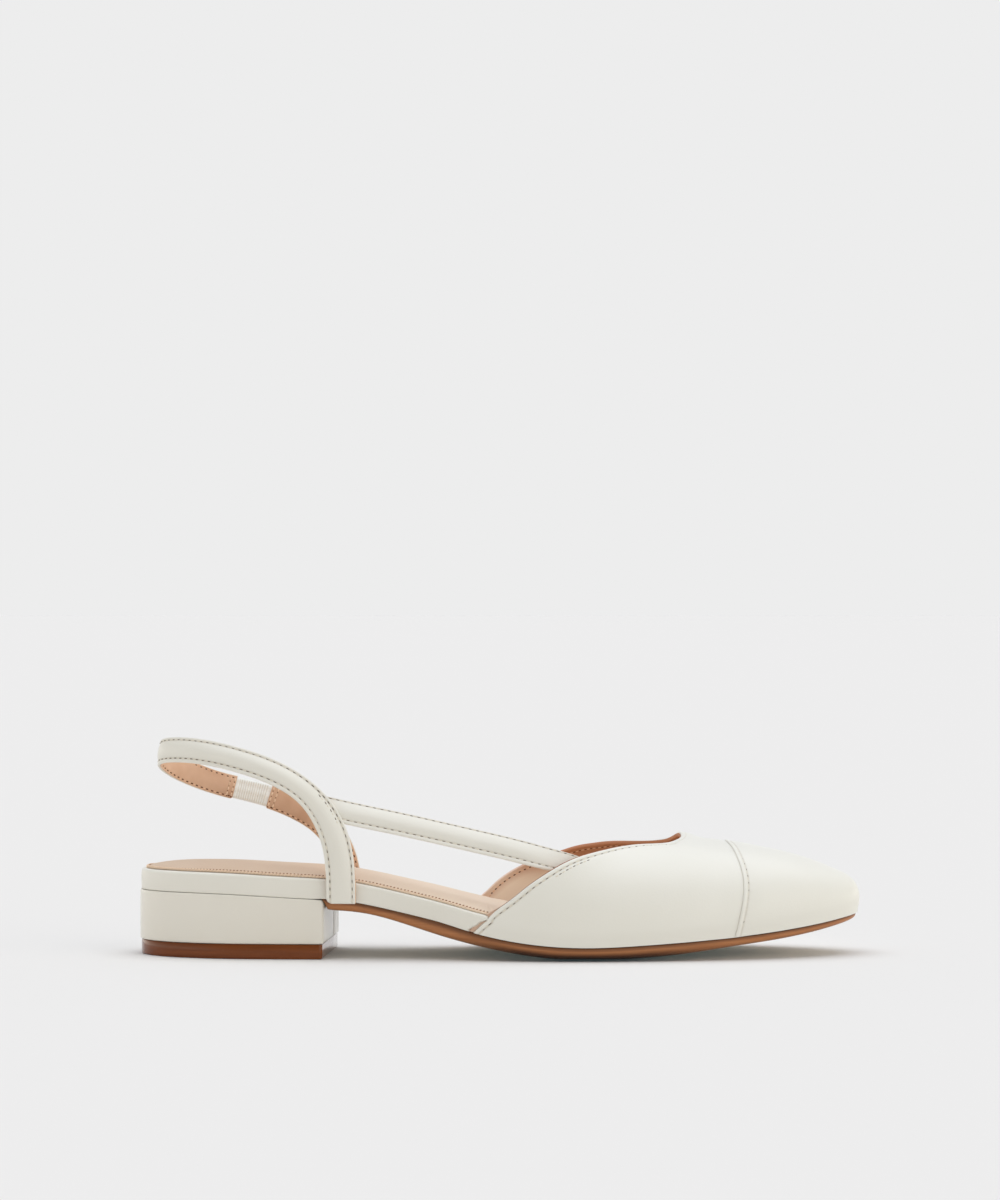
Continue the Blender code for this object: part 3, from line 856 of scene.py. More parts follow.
def heelOutline(inset, seamShare):
    form = heelForm
    t = np.linspace(0, 1, form["sideRows"])
    turn = np.linspace(0, pi / 2, form["cornerRows"])[1:]
    back = lastForm["heelBack"] + inset
    sides = []
    for side in (-1, 1):
        front = form["breastX"] + side * form["skew"] - inset
        straight = back + (front - form["corner"] - back) * (1 - np.cos(pi * t / 2))
        curved = front - form["corner"] * (1 - np.sin(turn))
        x = np.concatenate((straight, curved))
        cut = np.concatenate((0 * straight, form["corner"] * (1 - np.cos(turn))))
        half = planHalf(np.minimum(x, front - form["corner"]), inset, back, lastForm["toeTip"]) - cut
        sides.append(np.stack((x, midLine(x) + side * half), axis=1))
    a, b = sides[0][-1], sides[1][-1]
    seam = np.array(form["seam"])
    share = (form["seamY"] + seam[:, 0] - a[1]) / (b[1] - a[1])
    breast = a + (b - a) * share[:, None]
    breast[:, 0] -= seam[:, 1] * seamShare
    return np.concatenate((sides[0], breast, sides[1][::-1]))


def blockPiece(name, rim, low, high, inset, seamShare, material, slot, replaced):
    rings = []
    for rimInset, above, share in rim:
        outline = heelOutline(inset + rimInset, seamShare)
        x = outline[:, 0]
        z = low(x) + above + share * (high(x) - low(x))
        rings.append(np.column_stack((outline, z)))
    loops, count = len(rings), len(rings[0])
    first = heelForm["sideRows"] + heelForm["cornerRows"] - 1
    marks = np.zeros((loops, count))
    depth = np.array([row[1] for row in heelForm["seam"]])
    marks[:, first:first + len(depth)] = seamShare * depth * heelForm["seamShade"]
    marks[:, first - 1:first + 3] += seamShare * heelForm["breastShade"]
    faces = cappedFaces(loops, count)
    makePiece(name, np.array(rings), faces, material, slot, replaced, np.clip(marks, 0, 1))


def heelUnder(x):
    return 0 * x + heelForm["tipHeight"] + bottomForm["gap"]


def heelTop(x):
    depth = soleThickness(x) + 2 * bottomForm["gap"]
    notch = depth * softStep(x, heelForm["notchFrom"], heelForm["notchTo"])  # room for the tail of the sole
    return featherHeight(x) - bottomForm["gap"] - notch


def buildHeel():
    form = heelForm
    blockPiece("heelWrap", form["rim"], heelUnder, heelTop, -form["proud"], 1.0,
               "heelLeather", "white_leather", ["heel"])
    blockPiece("heelTip", form["tipRim"], lambda x: 0 * x, lambda x: 0 * x + form["tipHeight"],
               form["tipInset"] - form["proud"], 0.0, "heelTip", "brown_lift", ["top_lift"])


buildHeel()


# Straps: puffed leather with turned edges over a lining, swept along stations
strapForm = {
    "step": 0.7,
    "pitch": 2.6,
    "stitchAt": 1.35,
    "pucker": 0.05,
    "puckerWidth": 0.6,
    "creaseShade": 0.5,
    "creaseWidth": 0.25,
    "flange": 1.6,
    "flangeDepth": 0.68,
    "crownRows": 9,
    "endRound": 0.7,
    "endThickness": 0.25,
    "cornerFade": 2.5,
    "middle": 1.25,
    "faceAbove": 1.2,
    "face": (  # from the edge, depth under the outer face
        (0.0, 1.3), (0.03, 1.06), (0.1, 0.84), (0.28, 0.68), (0.58, 0.62), (0.94, 0.64), (1.18, 0.72),
        (1.35, 0.79), (1.5, 0.74),
    ),
    "back": ((0.04, 1.44), (0.16, 1.6), (0.4, 1.7), (1.0, 1.72)),
    "liningStitchAt": 0.95,
    "liningMiddle": 2.05,
    "liningTrim": 0.2,
    "lining": ((0.22, 1.9), (0.26, 1.78), (0.45, 1.74), (1.0, 1.74)),
    "liningFoot": (
        (0.26, 2.18), (0.4, 2.29), (0.6, 2.32), (0.8, 2.27), (0.95, 2.22), (1.1, 2.27), (1.35, 2.34),
        (1.9, 2.38), (2.8, 2.4),
    ),
    "endShade": (0.1, 0.26),  # painted shade on the lining on both sides of the elastic, more at its lower edge
    "shadeReach": (12.0, 34.0),
    "shadeAcross": (-0.3, 0.5),
    "liningPeek": (0.4, 9.0, 15.0),  # lining past the sling strap's front edge at its foot, and where it ends
    "loop": (  # middle of the outer face x, y, z, facing and lean in degrees, width, crown
        (-55.1, -31.0, 19.5, -93, 0, 10.1, 0.2), (-55.3, -30.8, 31.0, -93, 2, 10.1, 0.9),
        (-56.6, -30.0, 40.0, -93, 10, 9.9, 1.1), (-60.0, -28.9, 48.9, -94, 22, 9.5, 1.1),
        (-66.5, -28.0, 57.5, -96, 28, 8.8, 1.1), (-77.5, -26.9, 64.6, -101, 25, 8.8, 1.1),
        (-92.0, -23.0, 69.4, -113, 19, 8.8, 1.0), (-105.0, -16.2, 71.8, -125, 16, 8.9, 0.85),
        (-115.3, -8.0, 72.1, -143, 12, 9.0, 0.6), (-121.1, 1.5, 70.4, -175, 7, 8.9, 0.45),
        (-118.0, 10.8, 66.4, -210, 4, 8.7, 0.6), (-110.5, 17.6, 62.4, -233, 4, 8.6, 0.8),
        (-99.0, 22.9, 58.3, -252, 4, 8.6, 0.4), (-84.0, 26.0, 54.5, -262, 4, 9.2, 0.5),
        (-72.0, 27.6, 49.6, -267, 3, 9.3, 1.0), (-62.3, 28.0, 42.6, -271, 0, 9.3, 1.0),
        (-56.3, 27.2, 32.5, -272, 0, 9.6, 0.8), (-54.2, 26.2, 20.0, -273, 0, 9.8, 0.2),
    ),
    "side": (
        (-62.0, -26.0, 53.15, -92, 25, 8.5, 0.1), (-50.0, -26.4, 50.5, -93, 27, 8.6, 1.05),
        (-35.0, -27.0, 47.4, -93, 29, 8.7, 1.15), (-21.0, -27.8, 44.35, -93, 30, 8.7, 1.15),
        (-7.0, -28.8, 41.2, -92, 30, 8.7, 1.15), (5.0, -29.6, 38.4, -90, 30, 8.7, 1.1),
        (14.0, -30.1, 36.1, -87, 30, 8.6, 0.6), (22.0, -30.2, 34.0, -84, 30, 8.4, 0.05),
        (28.0, -29.9, 32.2, -82, 30, 8.3, 0.0),
    ),
    "elasticLength": 12.6,
    "medialLength": 48.7,
}


def strapAt(route, at):
    rows = np.array(route, dtype=float)
    lengths = runningLength(rows[:, :3])
    x, y, z, facing, lean, width, crown = (naturalCubic(lengths, column)(at) for column in rows.T)
    middle = np.stack((x, y, z), axis=1)
    along = unit(np.gradient(middle, axis=0))
    turn, tilt = np.radians(facing), np.radians(lean)
    face = np.stack((np.cos(turn) * np.cos(tilt), np.sin(turn) * np.cos(tilt), np.sin(tilt)), axis=1)
    face = unit(face - along * np.sum(face * along, axis=1, keepdims=True))
    return middle, along, face, np.cross(face, along), width, crown


def routeLength(route):
    return runningLength(np.array(route, dtype=float)[:, :3])[-1]


loopTotal = routeLength(strapForm["loop"])
medialFrom = loopTotal - strapForm["medialLength"]
elasticFrom = medialFrom - strapForm["elasticLength"]
strapRuns = {  # share: of the full thickness; margins: of the flange at the two edges, then of the lining
    "slingStrap": {
        "route": "loop", "start": 0.0, "end": elasticFrom, "node": "sling_strap",
        "share": 1.0, "margins": (0.75, 1.05), "liningMargins": (1.0, 1.0), "corners": (2.2, 1.2),
    },
    "medialStrap": {
        "route": "loop", "start": medialFrom, "end": loopTotal, "node": "medial_strap",
        "share": 1.0, "margins": (0.8, 1.0), "liningMargins": (1.0, 1.0), "corners": (1.2, 2.2),
    },
    "sideStrap": {
        "route": "side", "start": 0.0, "end": routeLength(strapForm["side"]), "node": "side_strap",
        "share": 0.84, "margins": (1.05, 0.4), "liningMargins": (2.6, 1.0), "corners": (0.0, 0.0),
    },
}


def crownRise(part):
    return 1 - (1 - part) ** 2


def strapFaceDepth(inward, narrowed, width, crown):
    edge, depth = np.array(strapForm["face"]).T
    flange = strapForm["flange"] * narrowed
    part = np.clip((inward - flange) / (width / 2 - flange), 0, 1)
    edge = np.append(edge, strapForm["flange"]) * narrowed
    flat = np.interp(inward, edge, np.append(depth, strapForm["flangeDepth"]))
    return flat - crown * crownRise(part)


def profileRing(front, back):  # half profiles mirrored into one ring of edge, share, side and depth
    ring = [(e, s, -1, d) for e, s, d in front]
    ring += [(e, s, 1, d) for e, s, d in reversed(front)]
    ring += [(e, s, 1, d) for e, s, d in back]
    ring += [(e, s, -1, d) for e, s, d in reversed(back)]
    return np.array(ring)


def sweepStrap(name, run, trimmed, ring, margins, middleDepth, peek=None, **dressing):
    form = strapForm
    start, end = run["start"] + trimmed, run["end"] - trimmed
    trim = form["endRound"]
    ends = trim * (1 - np.cos(np.linspace(0, pi / 2, 5)))
    body = np.arange(start + trim, end - trim, form["step"])
    at = np.concatenate((start + ends, body[1:], end - ends[::-1]))
    middle, along, face, across, width, crown = strapAt(form[run["route"]], at)
    fromEnd = np.minimum(at - start, end - at)
    squash = form["endThickness"] + (1 - form["endThickness"]) * roundedEnd(fromEnd, trim, 2)
    edge, part, side, depth = ring.T
    narrowed = np.where(side < 0, *margins)
    sewn = (depth < form["faceAbove"]) * (middleDepth == form["middle"])
    inward = edge * narrowed + part[None, :] * (width[:, None] / 2 - form["flange"] * narrowed)
    u = side[None, :] * (width[:, None] / 2 - inward)
    if peek:
        u = u - peek[0] * (side < 0) * (1 - softStep(at, *peek[1:]))[:, None]
    level = middleDepth + (depth[None, :] - middleDepth) * squash[:, None]
    level = level - crown[:, None] * crownRise(part)[None, :] * squash[:, None]
    wave = np.cos(2 * pi * (at - start) / form["pitch"])
    drawnIn = bell(inward / narrowed, form["stitchAt"], form["puckerWidth"])
    level = level + form["pucker"] * wave[:, None] * drawnIn * sewn
    level = level * run["share"]
    points = middle[:, None] + across[:, None] * u[..., None] - face[:, None] * level[..., None]
    for atEnd, sign, radius in zip((start, end), (1, -1), run["corners"]):
        if radius:
            into = np.clip(radius - inward, 0, radius) * (side > 0)
            rounded = radius - np.sqrt(np.maximum(radius ** 2 - into ** 2, 0))
            fade = np.clip(1 - np.abs(at - atEnd) / (form["cornerFade"] * radius), 0, 1)
            points += sign * along[:, None] * (rounded * fade[:, None])[..., None]
    crease = form["creaseShade"] * bell(inward / narrowed, form["stitchAt"], form["creaseWidth"]) * sewn
    if not sewn.any():
        # painted shade on the loop's lining near the elastic, deeper toward its lower edge
        near, far = form["shadeReach"]
        shadeAlong = softStep(at, elasticFrom - far, elasticFrom)
        shadeAlong = shadeAlong * (1 - softStep(at, medialFrom + near, medialFrom + far))
        lower = form["endShade"][0] + form["endShade"][1] * softStep(u / width[:, None], *form["shadeAcross"])
        crease = crease + lower * (shadeAlong * (run["route"] == "loop"))[:, None]
    return makePiece(name, points, cappedFaces(len(at), len(ring)), crease=crease, **dressing)


crownParts = np.linspace(0, 1, strapForm["crownRows"] + 1)[1:]
faceHalf, backHalf, liningHalf, footHalf = (
    [(e, 0.0, d) for e, d in strapForm[part]] for part in ("face", "back", "lining", "liningFoot")
)
faceHalf += [(strapForm["flange"], part, strapForm["flangeDepth"]) for part in crownParts]
faceRing = profileRing(faceHalf, backHalf)
liningRing = profileRing(liningHalf, footHalf)


def buildStraps():
    form = strapForm
    for name, run in strapRuns.items():
        piece = sweepStrap(name, run, 0.0, faceRing, run["margins"], form["middle"],
                           material="shadedWhiteLeather", slot="white_leather", replaced=[run["node"]])
        peek = form["liningPeek"] if name == "slingStrap" else None
        sweepStrap(name + "Lining", run, form["liningTrim"], liningRing, run["liningMargins"],
                   form["liningMiddle"], peek, material="liningLeather", slot="tan_lining")


elasticForm = {
    "overlap": 0.5,
    "step": 0.11,
    "share": 0.88,
    "ribPitch": 0.84,
    "ribRise": 0.14,
    "ribsWithin": (0.80, 0.92),  # smooth selvedge past this share of the half width
    "ribsFrom": (0.5, 1.3),  # from the strap ends
    "ribShade": 0.8,
    "rimPower": 12,
    "bands": 2.5,
    "bandRise": 0.12,
    "lowerShade": 0.3,
    "lowerFrom": (-0.2, 1.0),
    "faceShade": 0.4,
    "faceDepth": 0.9,
    "backDepth": 1.75,
    "gather": 0.09,
    "gatherPitch": 3.4,
    "across": 41,
}


def buildElastic():
    form = elasticForm
    start, end = elasticFrom - form["overlap"], medialFrom + form["overlap"]
    at = np.arange(start, end + form["step"], form["step"])
    middle, along, face, across, width, crown = strapAt(strapForm["loop"], at)
    v = np.linspace(-1, 1, form["across"])
    half = (form["backDepth"] - form["faceDepth"]) / 2
    centreDepth = form["faceDepth"] + half
    around = np.concatenate((v, v[-2:0:-1]))
    way = np.concatenate((-np.ones(len(v)), np.ones(len(v) - 2)))  # the face first, then the back
    rim = (1 - np.abs(around) ** form["rimPower"]) ** 0.5
    ribbed = 1 - softStep(np.abs(around), *form["ribsWithin"])
    rib = np.abs(np.sin(pi * (at - start) / form["ribPitch"]))
    clear = np.minimum(at - elasticFrom, medialFrom - at)
    rib = 1 - (1 - rib) * softStep(clear, *form["ribsFrom"])
    band = form["bandRise"] * np.cos(2 * pi * form["bands"] * around / 2)
    swell = half + band[None, :] + form["ribRise"] * rib[:, None] * ribbed[None, :]
    wave = form["gather"] * np.sin(2 * pi * (at - start) / form["gatherPitch"])
    u = around[None, :] * (width * form["share"] / 2)[:, None]
    level = centreDepth + wave[:, None] + way[None, :] * swell * rim[None, :]
    points = middle[:, None] + across[:, None] * u[..., None] - face[:, None] * level[..., None]
    faces = cappedFaces(len(at), len(around))
    shade = form["lowerShade"] * softStep(around, *form["lowerFrom"])
    shade = shade + form["faceShade"] * (way < 0)
    crease = form["ribShade"] * (1 - rib[:, None]) ** 2 * ribbed[None, :] + shade[None, :]
    makePiece("elastic", points, faces, "elasticYarn", "ribbed_elastic", ["elastic"], crease, sharp=60)


buildStraps()
buildElastic()


# Stitches: arched threads laid along marked rows, with needle holes between them that are dark marks of
# painted shade

def makeStitchTree():
    tree = bpy.data.node_groups.new("stitchRow", "GeometryNodeTree")
    face = tree.interface
    face.new_socket("Rows", in_out="INPUT", socket_type="NodeSocketGeometry")
    for name in ("Pitch", "Length", "Width", "Rise", "Sink", "Shift"):
        face.new_socket(name, in_out="INPUT", socket_type="NodeSocketFloat").default_value = 0.001
    face.new_socket("Material", in_out="INPUT", socket_type="NodeSocketMaterial")
    face.new_socket("Stitches", in_out="OUTPUT", socket_type="NodeSocketGeometry")
    given = put(tree, "NodeGroupInput").outputs
    path = put(tree, "GeometryNodeMeshToCurve", {"Mesh": given["Rows"]}).outputs["Curve"]
    spaced = put(tree, "GeometryNodeResampleCurve", {"Curve": path, "Length": given["Pitch"]}, mode="LENGTH")
    axes = {}
    for axis, label in (("Primary Axis", "up"), ("Secondary Axis", "lay")):
        field = put(tree, "GeometryNodeInputNamedAttribute", {"Name": label}, data_type="FLOAT_VECTOR")
        axes[axis] = field.outputs["Attribute"]
    turned = put(tree, "FunctionNodeAxesToRotation", axes, primary_axis="Z", secondary_axis="X").outputs[0]
    reach = calc(tree, "MULTIPLY", given["Length"], 0.5)
    down = calc(tree, "MULTIPLY", given["Sink"], -1.0)
    first = put(tree, "ShaderNodeCombineXYZ", {"X": calc(tree, "SUBTRACT", given["Shift"], reach), "Z": down})
    last = put(tree, "ShaderNodeCombineXYZ", {"X": calc(tree, "ADD", given["Shift"], reach), "Z": down})
    crown = calc(tree, "MULTIPLY_ADD", given["Rise"], 2.0, given["Sink"])
    top = put(tree, "ShaderNodeCombineXYZ", {"X": given["Shift"], "Z": crown})
    ends = {"Resolution": 6, "Start": first.outputs[0], "Middle": top.outputs[0], "End": last.outputs[0]}
    arch = put(tree, "GeometryNodeCurveQuadraticBezier", ends).outputs["Curve"]
    radius = calc(tree, "MULTIPLY", given["Width"], 0.5)
    thread = put(tree, "GeometryNodeCurvePrimitiveCircle", {"Resolution": 6, "Radius": radius})
    drawn = {"Curve": arch, "Profile Curve": thread.outputs["Curve"], "Fill Caps": True}
    stitch = put(tree, "GeometryNodeCurveToMesh", drawn)
    laid = {"Points": spaced.outputs[0], "Instance": stitch.outputs[0], "Rotation": turned}
    sewn = put(tree, "GeometryNodeInstanceOnPoints", laid).outputs[0]
    real = put(tree, "GeometryNodeRealizeInstances", {"Geometry": sewn}).outputs[0]
    done = put(tree, "GeometryNodeSetMaterial", {"Geometry": real, "Material": given["Material"]}).outputs[0]
    put(tree, "NodeGroupOutput", {"Stitches": done})
    return tree


stitchTree = makeStitchTree()


def sew(name, rows, sizes, material):  # rows hold points, the way up and the way each thread lies
    mesh = bpy.data.meshes.new(name)
    points = np.concatenate([row[0] for row in rows]) * mm
    edges = []
    first = 0
    for row in rows:
        edges += [(first + i, first + i + 1) for i in range(len(row[0]) - 1)]
        first += len(row[0])
    mesh.from_pydata(points.tolist(), edges, [])
    for label, k in (("up", 1), ("lay", 2)):
        field = np.concatenate([row[k] for row in rows]).astype(np.float32)
        mesh.attributes.new(label, "FLOAT_VECTOR", "POINT").data.foreach_set("vector", field.ravel())
    piece = addObject(name, mesh)
    modifier = piece.modifiers.new("stitches", "NODES")
    modifier.node_group = stitchTree
    values = {label: size * mm for label, size in sizes.items()}
    values["Material"] = materials[material]
    for socket in stitchTree.interface.items_tree:
        if socket.in_out == "INPUT" and socket.name in values:
            modifier[socket.identifier] = values[socket.name]
    sewn = piece.evaluated_get(bpy.context.evaluated_depsgraph_get())
    baked = bpy.data.meshes.new_from_object(sewn)
    piece.modifiers.remove(modifier)
    piece.data = baked
    baked.shade_smooth()
    print("stitches:", name, len(baked.polygons), "faces")
    dress(piece)


def sewWithHoles(name, rows, style, thread, hole, holeRows=None):
    pitch = style["pitch"]
    threadSizes = dict(zip(stitchForm["sizes"], style["thread"]))
    holeSizes = dict(zip(stitchForm["sizes"], style["hole"]))
    sew(name, rows, {**threadSizes, "Pitch": pitch, "Shift": 0.0}, thread)
    # the holes are small sunk marks coloured with painted shade
    sew(name + "Holes", holeRows or rows, {**holeSizes, "Pitch": pitch, "Shift": pitch / 2}, hole)


def edgeRow(cut, away, girthFrom, girthTo, height, inside=False):
    girth = np.linspace(girthFrom, girthTo, int(abs(girthTo - girthFrom)) + 2)
    x = cut(girth) + edgeStretch(cut, girth) * away
    normal = lastNormals(girth, x)
    points = lastPoints(girth, x) + normal * np.reshape(height(girth), (-1, 1))
    return points, -normal if inside else normal, unit(np.gradient(points, axis=0))


def strapRow(run, start, end, edge, side, depth, inside=False):
    at = np.arange(start, end, 1.0)
    middle, along, face, across, width, crown = strapAt(strapForm[run["route"]], at)
    level = run["share"] * np.reshape(depth(width, crown), (-1, 1))
    points = middle + across * (side * (width / 2 - edge))[:, None] - face * level
    return points, -face if inside else face, along


def strapCrossRow(at, edge, depth):
    middle, along, face, across, width, crown = strapAt(strapForm["loop"], np.array((at - 0.5, at, at + 0.5)))
    reach = np.linspace(-1, 1, 7)[:, None] * (width[1] / 2 - edge)
    points = middle[1] + across[1] * reach - face[1] * depth
    return points, np.repeat(-face[1:2], 7, axis=0), np.repeat(across[1:2], 7, axis=0)


stitchForm = {
    "sizes": ("Length", "Width", "Rise", "Sink"),  # of the arched threads and of the holes between them
    "vamp": {"pitch": 2.8, "thread": (1.75, 0.46, -0.06, 0.42), "hole": (1.3, 0.42, -0.12, 0.3)},
    "cap": {"pitch": 2.8, "thread": (1.75, 0.4, -0.08, 0.42), "hole": (1.3, 0.34, -0.1, 0.28)},
    "strap": {"pitch": 2.6, "thread": (1.5, 0.44, -0.06, 0.4), "hole": (1.35, 0.35, -0.09, 0.32)},
    "lining": {"pitch": 2.1, "thread": (1.3, 0.52, 0.0, 0.4), "hole": (1.05, 0.74, -0.2, 0.4)},
    "cross": {"pitch": 1.6, "thread": (1.25, 0.54, 0.1, 0.4), "hole": (0.6, 0.6, -0.2, 0.4)},
    "sock": {"pitch": 1.25, "thread": (1.3, 0.46, 0.0, 0.3), "hole": (0.9, 0.33, -0.03, 0.24)},
    "lift": 0.07,  # rows stand this far off the bottom of their groove
    "edgeGirth": (-98, 97),
    "liningGirth": (-86, 86),
    "edgeLift": (0.07, -0.105),  # along the sides, and round the throat where the row sinks in
    "throatSink": (0.24, 16.0, 12.0),  # sinks further at the inner corner: depth, girth, spread
    "junctionRow": 2.95,  # second row on the vamp where it holds the side strap
    "junctionGirth": (-64.5, -52.0),
    "junctionLift": 0.01,
    "capGroove": 0.6,
    "capFade": (0.09, 52.0, 26.0),  # sinks toward the ridge and the foot: depth, clear girth, spread
    "strapEnds": (1.2, 2.2),
    "slingSecondRow": (2.05, 27.5, 37.0, 0.02),  # from the front edge, start and end along the strap, depth
    "crossRows": (0.9, 2.6),  # from the end of the strap at the elastic
    "crossRow": (1.7, 2.37),  # from the edges, depth
    "sockTurn": 38.0,
    "sockSteps": 160,
    "sockRowEnd": -5.0,
    "sockSink": (0.45, -114.0, -96.0),  # holes sink in round the back of the heel
    "sockRow": (0.28, 0.66),  # inset from the sock's edge, height over the board
}


def stitchUpper():
    form = stitchForm
    away, second = vampForm["stitchAt"], form["junctionRow"]
    shown, hidden = form["edgeLift"]
    sink, corner, reach = form["throatSink"]

    def edgeHeight(girth):
        lift = hidden + (shown - hidden) * grooveShare(girth) - sink * bell(girth, corner, reach)
        return foldHeight(girth, away) + lift

    white = [edgeRow(topLine, away, *form["edgeGirth"], edgeHeight)]
    white.append(edgeRow(topLine, second, *form["junctionGirth"],
                         lambda girth: foldHeight(girth, second) + form["junctionLift"]))
    sewWithHoles("upperThread", white, form["vamp"], "whiteThread", "whiteHoleShade")
    deep, clear, spreadOut = form["capFade"]
    cap = [edgeRow(capSeam, capForm["stitchAt"], *form["edgeGirth"],
                   lambda girth: form["capGroove"] - deep * (1 - bell(np.abs(girth), clear, spreadOut)))]
    sewWithHoles("capThread", cap, form["cap"], "whiteThread", "whiteHoleShade")
    inward = liningForm["stitchAt"]
    groove = {row[0]: row[2] for row in liningForm["edge"]}[inward]
    tan = [edgeRow(topLine, inward, *form["liningGirth"],
                   lambda girth: throatRoll(girth, inward) + groove, inside=True)]
    sewWithHoles("liningThread", tan, form["lining"], "tanThread", "tanHoleShade")


def stitchStraps():
    form = stitchForm
    edge, liningEdge = strapForm["stitchAt"], strapForm["liningStitchAt"]
    groove = dict(strapForm["face"])[edge]
    liningDepth = dict(strapForm["liningFoot"])[liningEdge]
    white, tan = [], []
    for run in strapRuns.values():
        first, last = run["start"] + form["strapEnds"][0], run["end"] - form["strapEnds"][1]
        for side, margin, liningMargin in zip((-1, 1), run["margins"], run["liningMargins"]):
            white.append(strapRow(run, first, last, edge * margin, side,
                                  lambda width, crown: 0 * width + groove - form["lift"]))
            tan.append(strapRow(run, first, last, liningEdge * liningMargin, side,
                                lambda width, crown: 0 * width + liningDepth, inside=True))
    sling = strapRuns["slingStrap"]
    second, begin, finish, sunk = form["slingSecondRow"]
    margin = sling["margins"][0]
    white.append(strapRow(sling, begin, finish, second, -1,
                          lambda width, crown: strapFaceDepth(second, margin, width, crown) + sunk))
    ends = [elasticFrom - back for back in form["crossRows"]] + [medialFrom + on for on in form["crossRows"]]
    cross = [strapCrossRow(at, *form["crossRow"]) for at in ends]
    sewWithHoles("strapThread", white, form["strap"], "whiteThread", "whiteHoleShade")
    sewWithHoles("strapLiningThread", tan, form["lining"], "tanThread", "tanHoleShade")
    sewWithHoles("strapEndThread", cross, form["cross"], "paleThread", "tanHoleShade")


def stitchSock():
    form = stitchForm
    inset, above = form["sockRow"]
    ring = slabRings(((inset, above, 0.0),), sockUnder, sockTop, sockInset, form["sockSteps"])[0]
    half = len(ring) // 2
    loop = np.concatenate((ring[half:], ring[:half]))  # inner side to the heel, then back up the outer side
    loop = loop[loop[:, 0] < form["sockRowEnd"]]
    lay = unit(np.gradient(loop, axis=0))
    upright = np.tile((0.0, 0.0, 1.0), (len(loop), 1))
    up = unit(upright + unit(np.cross(lay, upright)))
    turn = radians(form["sockTurn"])
    slanted = lay * np.cos(turn) + np.cross(up, lay) * np.sin(turn)
    deep, sunkTo, clearFrom = form["sockSink"]
    sunk = loop - up * deep * (1 - softStep(loop[:, :1], sunkTo, clearFrom))
    sewWithHoles("sockThread", [(loop, up, slanted)], form["sock"], "paleThread", "paleHoleShade",
                 [(sunk, up, slanted)])


stitchUpper()
stitchStraps()
stitchSock()


# Studio: pale floor, soft overhead light, level camera
studioForm = {
    "floorSize": 60.0,
    "floorColour": (232.6, 229, 224.6),
    "floorGlow": (0.012, 0.023, 0.028, 1.0),  # fill that keeps the shadows on the floor grey
    "horizon": (237, 237, 237),
    "overhead": (0.555, 0.57, 0.6, 1.0),
    "overFrom": (0.5, 0.85),  # where a part of the light fades in, along one axis of the way to it
    "highFrom": (0.08, 0.24),
    "backHighFrom": (0.18, 0.4),
    "frontFrom": (-0.15, -0.7),
    "sideFrom": (0.4, 0.75),
    "windowFrom": (0.74, 0.94),
    "backHigh": (0.6, 0.61, 0.63, 1.0),
    "sideLow": (2.15, 2.05, 1.84, 1.0),
    "sideHigh": (0.5, 0.49, 0.46, 1.0),
    "frontLow": (0.56, 0.5, 0.4, 1.0),
    "frontHigh": (0.075, 0.074, 0.072, 1.0),
    "window": (1.7, 1.65, 1.54, 1.0),  # soft bright patch low on the toe side of the camera
    "windowWay": (0.8, -0.58, 0.14),
    "sunStrength": 1.41,
    "sunColour": (0.96, 1.0, 1.09),
    "sunAngle": 70.0,
    "sunTilt": (-4.0, 0.0),
    "cameraBack": 1400.0,
    "cameraHeight": 124.4,
    "focalPixels": 3969.0,
    "longSidePixels": 1200.0,
    "sensor": 36.0,
}


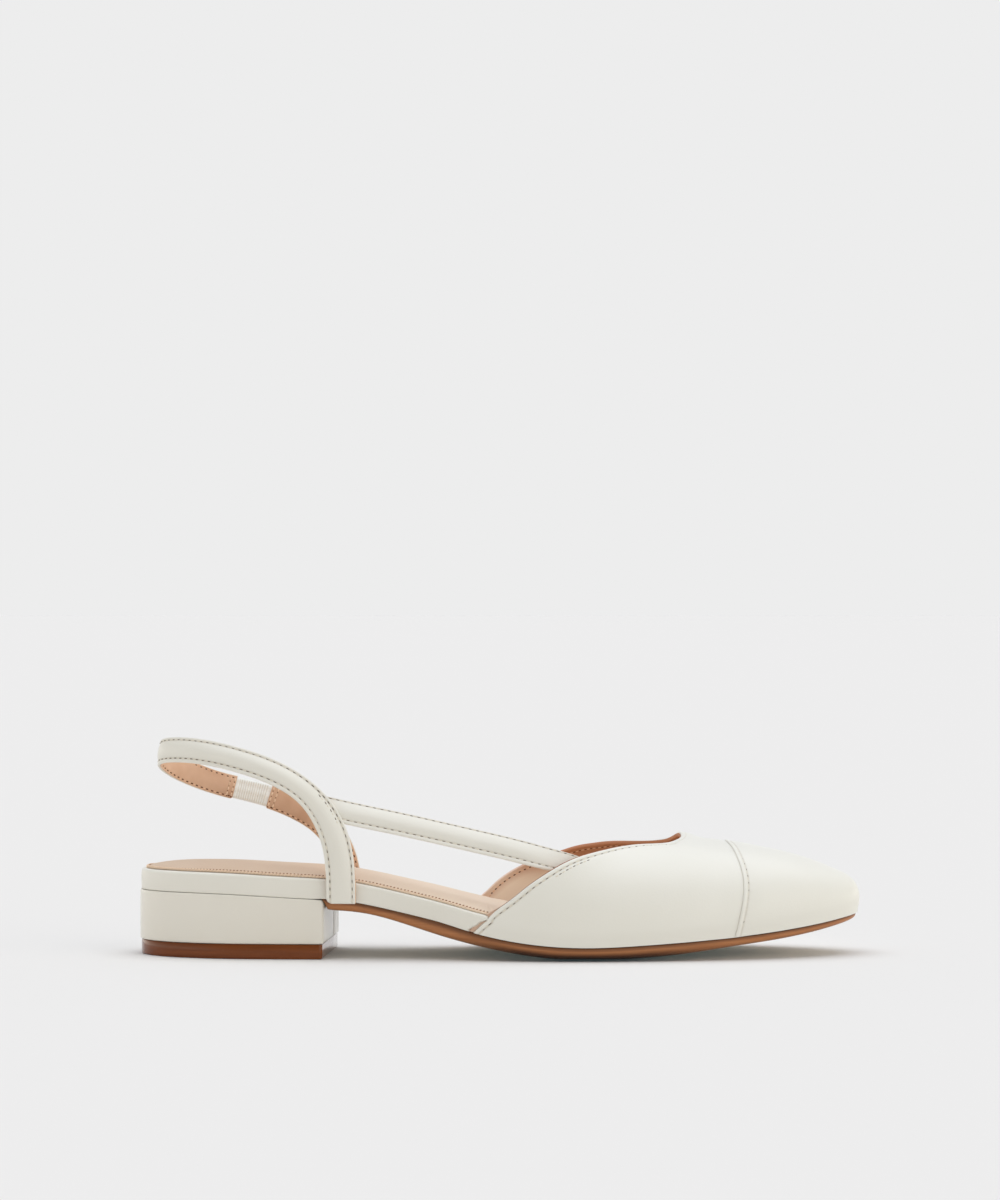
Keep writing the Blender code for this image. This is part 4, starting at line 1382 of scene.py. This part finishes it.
def buildFloor():
    half = studioForm["floorSize"] / 2
    mesh = bpy.data.meshes.new("floor")
    corners = [(-half, -half, 0), (half, -half, 0), (half, half, 0), (-half, half, 0)]
    mesh.from_pydata(corners, [], [(0, 1, 2, 3)])
    material, tree, shader = startMaterial("paleFloor")
    soft = noise(tree, objectPlace(tree), 0.8, 1.0)
    tone = linear(*studioForm["floorColour"])
    colour = mixColour(tree, soft, tone, tuple(c * 0.997 for c in tone))
    matte = {"Base Color": colour, "Roughness": 0.95, "Specular IOR Level": 0.0}
    setSockets(tree, shader, {**matte, "Emission Color": studioForm["floorGlow"], "Emission Strength": 1.0})
    mesh.materials.append(material)
    floor = addObject("floor", mesh)


def buildLight():
    form = studioForm
    world = bpy.data.worlds.new("studio")
    bpy.context.scene.world = world
    world.use_nodes = True
    tree = world.node_tree
    way = put(tree, "ShaderNodeTexCoord").outputs["Generated"]
    axis = put(tree, "ShaderNodeSeparateXYZ", {"Vector": way}).outputs
    high = spread(tree, axis["Z"], *form["highFrom"])
    over = spread(tree, axis["Z"], *form["overFrom"])
    toFront = spread(tree, axis["Y"], *form["frontFrom"])
    toSide = spread(tree, calc(tree, "ABSOLUTE", axis["X"]), *form["sideFrom"])
    aboveFrame = spread(tree, axis["Z"], *form["backHighFrom"])
    back = mixColour(tree, aboveFrame, linear(*form["horizon"]), form["backHigh"])
    front = mixColour(tree, high, form["frontLow"], form["frontHigh"])
    side = mixColour(tree, high, form["sideLow"], form["sideHigh"])
    walls = mixColour(tree, toSide, mixColour(tree, toFront, back, front), side)
    dome = mixColour(tree, over, walls, form["overhead"])
    facing = put(tree, "ShaderNodeVectorMath", {0: way, 1: form["windowWay"]}, operation="DOT_PRODUCT")
    near = spread(tree, facing.outputs["Value"], *form["windowFrom"])
    lit = mixColour(tree, near, dome, form["window"])
    tree.links.new(lit, tree.nodes["Background"].inputs["Color"])
    sun = bpy.data.lights.new("overhead", "SUN")
    sun.energy = form["sunStrength"]
    sun.color = form["sunColour"]
    sun.angle = radians(form["sunAngle"])
    lamp = addObject("overhead", sun)
    lamp.rotation_euler = (radians(form["sunTilt"][0]), radians(form["sunTilt"][1]), 0)


def buildCamera():
    form = studioForm
    lens = bpy.data.cameras.new("camera")
    lens.sensor_width = form["sensor"]
    lens.lens = form["focalPixels"] * form["sensor"] / form["longSidePixels"]
    lens.clip_end = 200
    camera = addObject("camera", lens)
    camera.location = (0, -form["cameraBack"] * mm, form["cameraHeight"] * mm)
    camera.rotation_euler = (radians(90), 0, 0)
    bpy.context.scene.camera = camera
    bpy.context.scene.view_settings.view_transform = "Standard"


buildFloor()
buildLight()
buildCamera()
print("studio ready")
